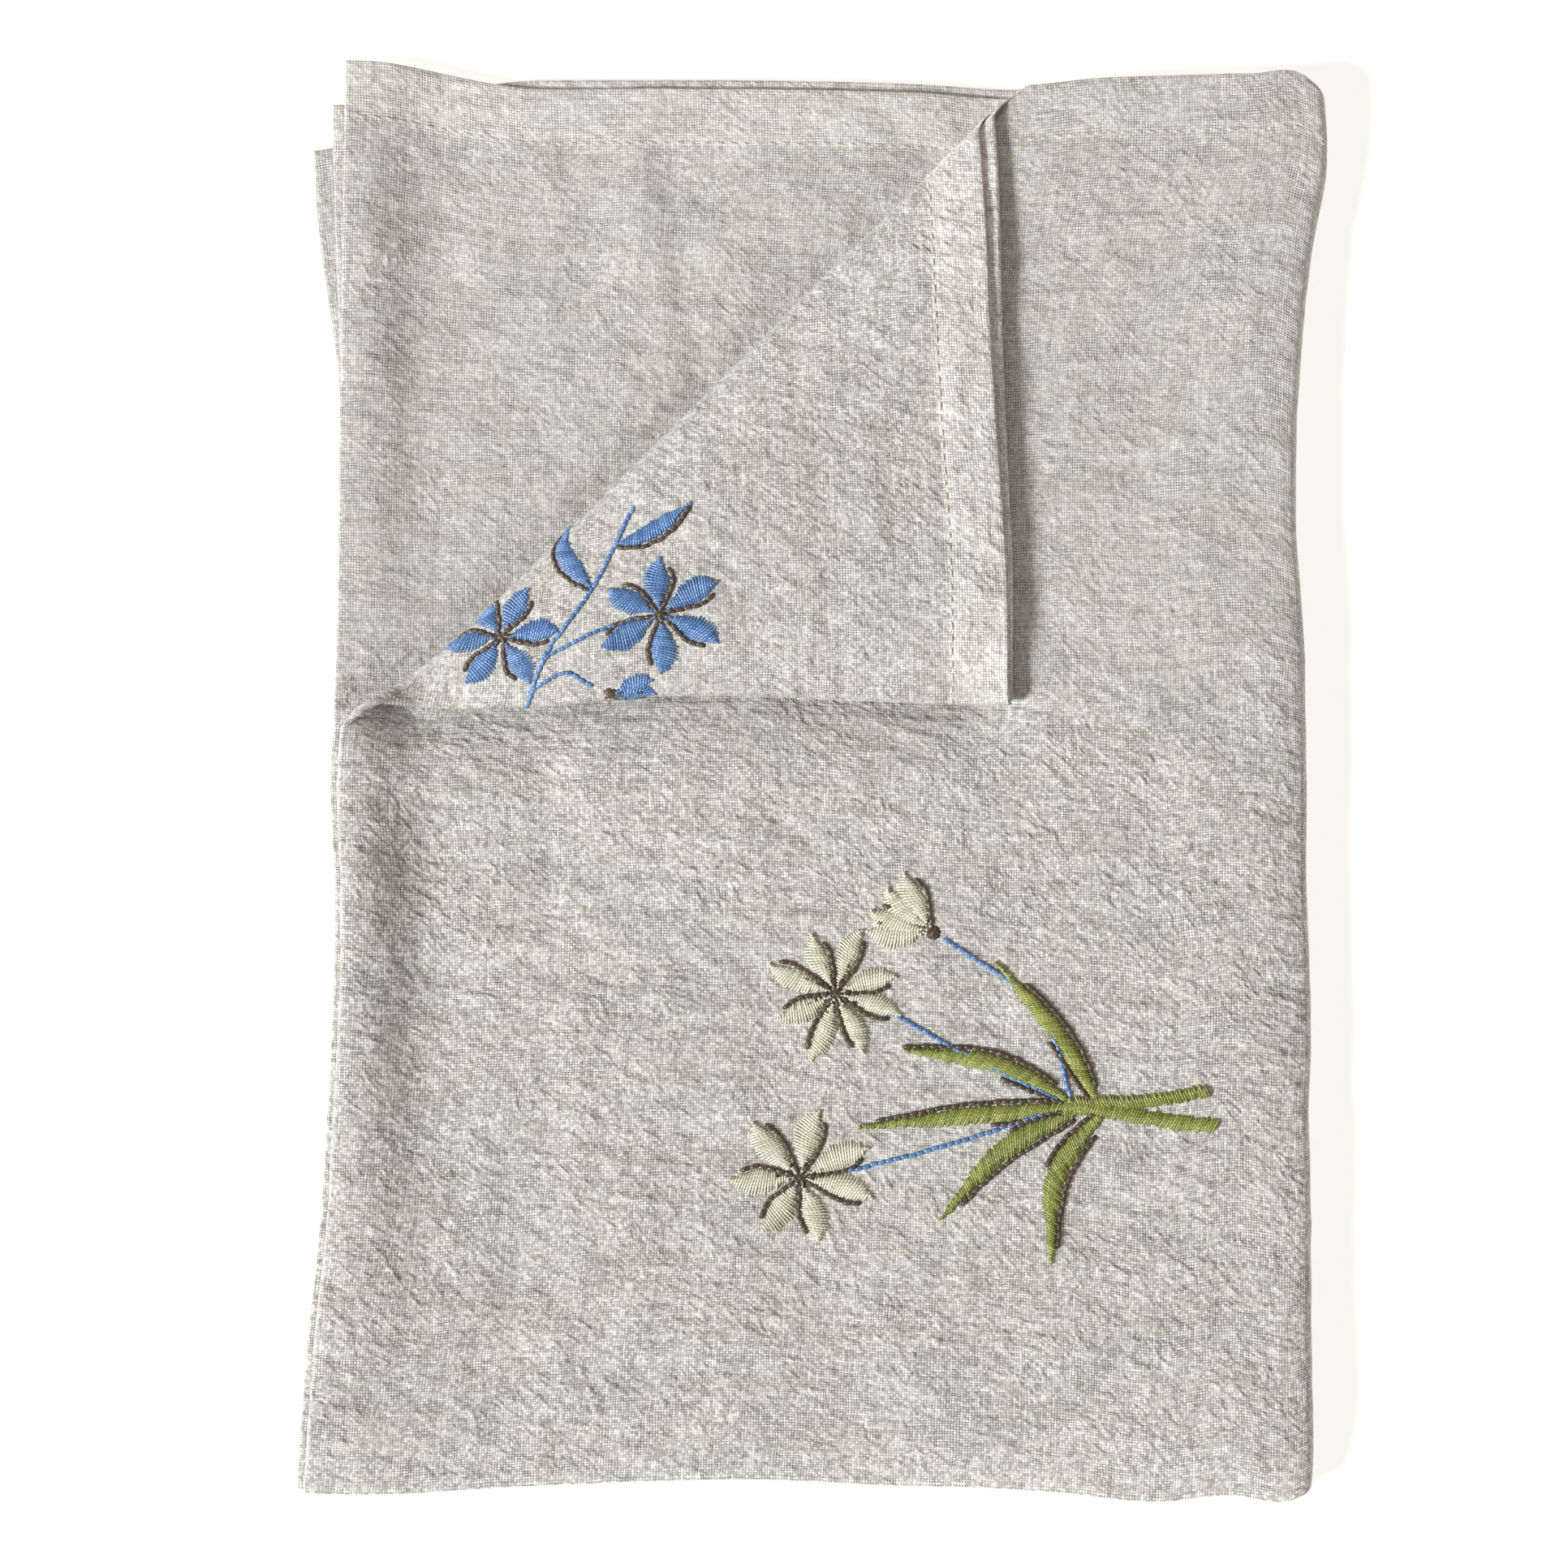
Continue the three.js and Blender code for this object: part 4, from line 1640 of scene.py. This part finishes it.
@dataclass
class Sprig:
    """A spray of flowers and leaves, embroidered on the cloth.

    A place in the spray is given to its right and up from its root, in millimetres. Up runs back
    along the cloth.

    Attributes:
        threads: The threads, by colour.
        along: Where the root is along the cloth.
        across: Where it is across the cloth.
        seed: The start of the random draw.
        satin_pitch: The space from one satin stitch to the next.
        outline_pitch: The length of a stitch in a brown line.
        stalk_pitch: The length of a stitch in a stalk.
        stray: How far a satin stitch's end may stray.
        line_stray: How much of that a line's stitch may stray.
        least_half: Half the length of the shortest satin stitch.
        edge_step: The space between the points that edge() gives.
        edge_gap: How far a brown line lies outside the satin.
        leaf_slant: How far a leaf's stitches lean, in degrees.
        short_edge: The part of a leaf's other edge that has a brown line.
        petal_widths: Half a petal's greatest width for its length, and that for all petals together.
        petal_sway: How far a petal may turn from its place, in degrees.
        petal_lengths: The shortest and longest petal, as a share of the size.
        petal_bend: How far a petal's middle lies aside.
        petal_middle: Where that middle is.
        petal_foot: How far from the flower's heart a petal starts.
        petal_slant: How far a petal's stitches lean, in degrees.
        petal_edge: The part of a petal's edge that has a brown line.
        vein: How far the brown vein runs up a petal.
        heart_stitches: How many brown stitches make the heart.
    """

    threads: dict[str, ThreadWork]
    along: float
    across: float
    seed: int
    satin_pitch: float = 0.48
    outline_pitch: float = 1.45
    stalk_pitch: float = 1.35
    stray: float = 0.26
    line_stray: float = 0.6
    least_half: float = 0.3
    edge_step: float = 1.5
    edge_gap: float = 0.25
    leaf_slant: float = 32.0
    short_edge: Point = (0.0, 0.45)
    petal_widths: Point = (0.24, 1.45)
    petal_sway: float = 4.0
    petal_lengths: Point = (0.9, 1.05)
    petal_bend: float = 0.06
    petal_middle: float = 0.6
    petal_foot: float = 1.2
    petal_slant: float = 12.0
    petal_edge: Point = (0.0, 0.95)
    vein: float = 0.5
    heart_stitches: int = 7

    def __post_init__(self) -> None:
        """Starts the random draw."""
        self.rng = np.random.default_rng(self.seed)

    def sew(self, colour: str, start: Array, end: Array, kind: Stitch) -> None:
        """Adds one stitch between two places in the spray."""
        first = (self.along - start[1], self.across - start[0])
        last = (self.along - end[1], self.across - end[0])
        self.threads[colour].add(first, last, kind)

    def satin(self, colour: str, shape: SatinShape, slant: float) -> None:
        """Fills a shape with stitches side by side across its spine.

        Args:
            colour: The thread's colour.
            shape: The shape.
            slant: How far the stitches lean towards the spine, in degrees.
        """
        walked, heading, share = smooth_path(shape.spine, self.satin_pitch)
        lean = math.tan(math.radians(slant))
        reach = np.maximum(shape.halves(share), self.least_half)
        for centre, ahead, side, half in zip(walked, heading, to_left(heading), reach):
            strays = self.rng.uniform(-self.stray, self.stray, 2)
            across = side + ahead * lean
            start = centre - across * (half + strays[0])
            end = centre + across * (half + strays[1])
            self.sew(colour, start, end, Stitch.SATIN)

    def line(self, colour: str, path: Sequence[Point], kind: Stitch, pitch: float) -> None:
        """Sews a line of stitches end to end.

        Args:
            colour: The thread's colour.
            path: The points that the line goes through.
            kind: The kind of stitch.
            pitch: The length of a stitch.
        """
        walked, heading, _ = smooth_path(path, pitch)
        for start, end, side in zip(walked[:-1], walked[1:], to_left(heading)[:-1]):
            strays = self.rng.uniform(-self.stray, self.stray, 2) * self.line_stray
            self.sew(colour, start + side * strays[0], end + side * strays[1], kind)

    def edge(self, shape: SatinShape, side: float, span: Point) -> list[Point]:
        """Follows one edge of a satin shape.

        Args:
            shape: The shape.
            side: 1 for the left edge and -1 for the right one.
            span: From which to which share of its length.

        Returns:
            A few points on the edge.
        """
        walked, heading, share = smooth_path(shape.spine, self.edge_step)
        rim = walked + to_left(heading) * (side * (shape.halves(share) + self.edge_gap))[:, None]
        chosen = rim[(share >= span[0]) & (share <= span[1])]
        return [tuple(point) for point in chosen]

    def outline(self, shape: SatinShape, side: float, span: Point) -> None:
        """Sews a brown line along one edge of a satin shape, as edge() gives it."""
        path = self.edge(shape, side, span)
        if len(path) > 1:
            self.line("brown", path, Stitch.OUTLINE, self.outline_pitch)

    def leaf(self, spine: Sequence[Point], half_width: float, side: float, span: Point) -> None:
        """Sews a green strap leaf with a brown line along one edge and part of the other.

        Args:
            spine: The points that its spine goes through.
            half_width: Half its greatest width.
            side: The edge with the longer line, 1 for the left one and -1 for the right one.
            span: From which to which share of its length that line runs.
        """
        shape = SatinShape(spine, half_width, Outline.STRAP_LEAF)
        self.satin("green", shape, self.leaf_slant)
        self.outline(shape, side, span)
        self.outline(shape, -side, self.short_edge)

    def stalk(self, path: Sequence[Point]) -> None:
        """Sews a light blue flower stalk."""
        self.line("blue", path, Stitch.STALK, self.stalk_pitch)

    def blossom(
        self,
        colour: str,
        centre: Point,
        size: float,
        turn: float,
        petals: int,
        spread: float,
    ) -> None:
        """Sews a flower with petals round its heart, each with a brown vein and edge.

        Args:
            colour: The petals' colour.
            centre: The flower's heart.
            size: How long a petal is.
            turn: The direction of the middle petal, in degrees from the right.
            petals: How many petals there are.
            spread: The angle from the first petal to the last.
        """
        heart = np.array(centre)
        half_width = size * min(self.petal_widths[0], self.petal_widths[1] / petals)
        for number in range(petals):
            swing = (number / max(petals - 1, 1) - 0.5) * spread
            angle = math.radians(turn + swing + self.rng.uniform(-self.petal_sway, self.petal_sway))
            reach = size * self.rng.uniform(*self.petal_lengths)
            ahead = np.array((math.cos(angle), math.sin(angle)))
            foot = heart + ahead * self.petal_foot
            middle = heart + ahead * reach * self.petal_middle + to_left(ahead) * reach * self.petal_bend
            spine = [tuple(foot), tuple(middle), tuple(heart + ahead * reach)]
            petal = SatinShape(spine, half_width, Outline.PETAL)
            self.satin(colour, petal, self.petal_slant)
            self.outline(petal, -1.0, self.petal_edge)
            vein = [tuple(heart), tuple(heart + ahead * reach * self.vein)]
            self.line("brown", vein, Stitch.OUTLINE, self.outline_pitch)
        for _ in range(self.heart_stitches):
            angle = self.rng.uniform(0.0, math.pi)
            across = np.array((math.cos(angle), math.sin(angle)))
            self.sew("brown", heart - across, heart + across, Stitch.OUTLINE)


def sew_white_sprig(sprig: Sprig) -> None:
    """Sews a tuft of strap leaves with three cream daisies, in the middle of the front.

    Args:
        sprig: The spray to sew, with its root at the right of the front.
    """
    left_stalk = SatinShape([(-3.5, 0.0), (-1.0, 12.0), (0.0, 26.0)], 1.5, Outline.STALK)
    right_stalk = SatinShape([(3.0, 1.5), (1.8, 12.0), (0.5, 24.0)], 1.3, Outline.STALK)
    sprig.satin("green", left_stalk, 20.0)
    sprig.satin("green", right_stalk, -20.0)
    sprig.leaf([(0.0, 22.0), (-8.0, 36.0), (-21.0, 47.0)], 1.9, 1.0, (0.05, 0.9))
    sprig.leaf([(0.5, 24.0), (7.0, 38.0), (9.0, 54.0)], 1.8, -1.0, (0.1, 1.0))
    sprig.leaf([(0.0, 22.0), (-2.0, 40.0), (-5.0, 61.0)], 1.7, -1.0, (0.1, 0.95))
    sprig.leaf([(-0.5, 19.0), (-12.0, 27.0), (-28.0, 28.0)], 1.9, 1.0, (0.1, 0.9))
    sprig.leaf([(0.5, 20.0), (12.0, 27.0), (25.0, 38.0)], 1.8, -1.0, (0.1, 0.8))
    sprig.stalk([(1.0, 27.0), (10.0, 46.0), (17.0, 59.0)])
    sprig.stalk([(-1.0, 28.0), (-9.0, 50.0), (-13.0, 63.0)])
    sprig.stalk([(1.5, 25.0), (16.0, 30.0), (29.0, 47.0)])
    sprig.blossom("ivory", (18.5, 66.0), 12.0, 90.0, 8, 320.0)
    sprig.blossom("ivory", (-14.5, 71.0), 12.5, 95.0, 7, 315.0)
    sprig.blossom("ivory", (30.0, 49.0), 11.0, 60.0, 4, 70.0)


def sew_blue_sprig(sprig: Sprig) -> None:
    """Sews a bending stalk with round blue flowers, in the corner that is turned down.

    Args:
        sprig: The spray to sew, with its root at the flap's lower fold.
    """
    sprig.stalk([(0.0, -6.0), (3.0, 6.0), (12.0, 19.0), (19.0, 34.0)])
    sprig.stalk([(3.5, 7.0), (10.0, 10.0), (20.0, 13.0)])
    sprig.stalk([(1.0, 1.0), (7.0, 4.0), (12.0, 1.0)])
    left_leaf = SatinShape([(12.0, 19.0), (7.0, 26.0), (6.0, 34.0)], 2.0, Outline.POINTED_LEAF)
    right_leaf = SatinShape([(16.0, 27.0), (22.0, 29.0), (29.0, 34.0)], 1.9, Outline.POINTED_LEAF)
    for leaf, side in ((left_leaf, 1.0), (right_leaf, -1.0)):
        sprig.satin("blue", leaf, 20.0)
        sprig.outline(leaf, side, (0.0, 1.0))
    sprig.blossom("blue", (24.0, 13.5), 11.0, 0.0, 6, 300.0)
    sprig.blossom("blue", (-4.0, 12.0), 10.0, 150.0, 6, 300.0)
    sprig.blossom("blue", (15.0, -1.0), 8.0, -10.0, 3, 50.0)


class Lamp(Enum):
    """The soft lamps, as strength, softness, elevation and azimuth in degrees, and colour."""

    LEFT_WINDOW = (3.9, 14.0, 35.0, 202.0, (0.962, 0.995, 1.02))
    BACK_WINDOW = (0.10, 40.0, 46.0, 98.0, (1.0, 0.99, 0.975))

    def hang(self) -> None:
        """Adds the lamp to the scene."""
        strength, softness, elevation, azimuth, colour = self.value
        lamp = bpy.data.lights.new(self.name.lower(), "SUN")
        lamp.energy = strength
        lamp.angle = math.radians(softness)
        lamp.color = colour
        window = bpy.data.objects.new(self.name.lower(), lamp)
        window.rotation_euler = (0.0, math.radians(90.0 - elevation), math.radians(azimuth))
        bpy.context.collection.objects.link(window)


@dataclass
class Studio:
    """The pale floor, the soft light and the camera above the towel.

    Attributes:
        camera_x: Where the camera stands in X.
        camera_y: Where it stands in Y.
        frame_width: How much the picture's width covers at the towel's middle height.
        focus_height: That height.
        lens: The camera's lens.
        sensor: Its sensor's width.
        nearest: The least distance that the camera sees.
        floor_side: The floor's side.
        floor_gap: How far the floor lies under the towel.
        sky: The colour of the light from all round.
        sky_strength: How strong that light is.
    """

    camera_x: float = -5.52
    camera_y: float = 0.07
    frame_width: float = 276.9
    focus_height: float = 5.0
    lens: float = 85.0
    sensor: float = 36.0
    nearest: float = 10.0
    floor_side: float = 4000.0
    floor_gap: float = 0.05
    sky: Colour = (1.0, 0.93, 0.83)
    sky_strength: float = 0.37

    def place_camera(self) -> None:
        """Looks straight down on the towel."""
        lens = bpy.data.cameras.new("camera_above")
        lens.lens = self.lens
        lens.sensor_width = self.sensor
        lens.clip_start = self.nearest * MM
        camera = bpy.data.objects.new("camera_above", lens)
        height = self.focus_height + self.frame_width * self.lens / self.sensor
        camera.location = (self.camera_x * MM, self.camera_y * MM, height * MM)
        bpy.context.collection.objects.link(camera)
        bpy.context.scene.camera = camera

    def light(self) -> None:
        """Lights the towel softly from the left, a little from behind the hems, and from all round."""
        for lamp in Lamp:
            lamp.hang()
        world = bpy.data.worlds.new("studio_sky")
        world.use_nodes = True
        background = world.node_tree.nodes["Background"]
        background.inputs["Color"].default_value = (*self.sky, 1.0)
        background.inputs["Strength"].default_value = self.sky_strength
        bpy.context.scene.world = world
        bpy.context.scene.view_settings.view_transform = "Standard"

    def lay_floor(self, finish: FloorFinish) -> None:
        """Lays the floor just under the towel."""
        bpy.ops.object.select_all(action="DESELECT")
        under = (0.0, 0.0, -self.floor_gap * MM)
        bpy.ops.mesh.primitive_plane_add(size=self.floor_side * MM, location=under)
        floor = bpy.context.object
        floor.name = "studio_floor"
        floor.data.materials.append(finish.material())


THREADS = {
    "green": ThreadFinish("green", (0.15, 0.19, 0.025), (0.44, 0.47, 0.12), roughness=0.3),
    "ivory": ThreadFinish("ivory", (0.62, 0.60, 0.42), (0.86, 0.85, 0.72), roughness=0.36),
    "brown": ThreadFinish("brown", (0.035, 0.02, 0.010), (0.13, 0.08, 0.042), roughness=0.42),
    "blue": ThreadFinish("blue", (0.05, 0.15, 0.40), (0.20, 0.37, 0.68), roughness=0.3),
}
SLOTS = {"green": "green_thread", "ivory": "cream_thread", "brown": "brown_thread", "blue": "blue_thread"}
HEM_THREAD = ThreadFinish("hem", (0.56, 0.53, 0.47), (0.72, 0.69, 0.63), roughness=0.7)


def main() -> None:
    """Builds the towel, its stitches and the studio in order."""
    logging.basicConfig(level=logging.INFO, format="%(message)s")
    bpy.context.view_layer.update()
    bpy.ops.object.select_all(action="DESELECT")

    studio = Studio()
    studio.place_camera()
    studio.light()
    studio.lay_floor(FloorFinish())

    cloth = FoldedCloth()
    towel = Towel(cloth)
    towel.build()
    towel.dress(ClothFinish())
    LOG.info("towel cloth: %d faces", len(towel.piece.data.polygons))

    hem_thread = ThreadWork(cloth, "hem_stitches", "hem_thread")
    HemStitching(hem_thread).build()
    hem_thread.dress(HEM_THREAD)
    LOG.info("hem stitches: %d", len(hem_thread.rows))

    threads = {colour: ThreadWork(cloth, f"{colour}_stitches", SLOTS[colour]) for colour in THREADS}
    sew_white_sprig(Sprig(threads, along=498.0, across=181.0, seed=31))
    sew_blue_sprig(Sprig(threads, along=342.0, across=84.0, seed=32))
    for colour, thread in threads.items():
        thread.build()
        thread.dress(THREADS[colour])
        LOG.info("%s stitches: %d", colour, len(thread.rows))


if __name__ == "__main__":
    main()
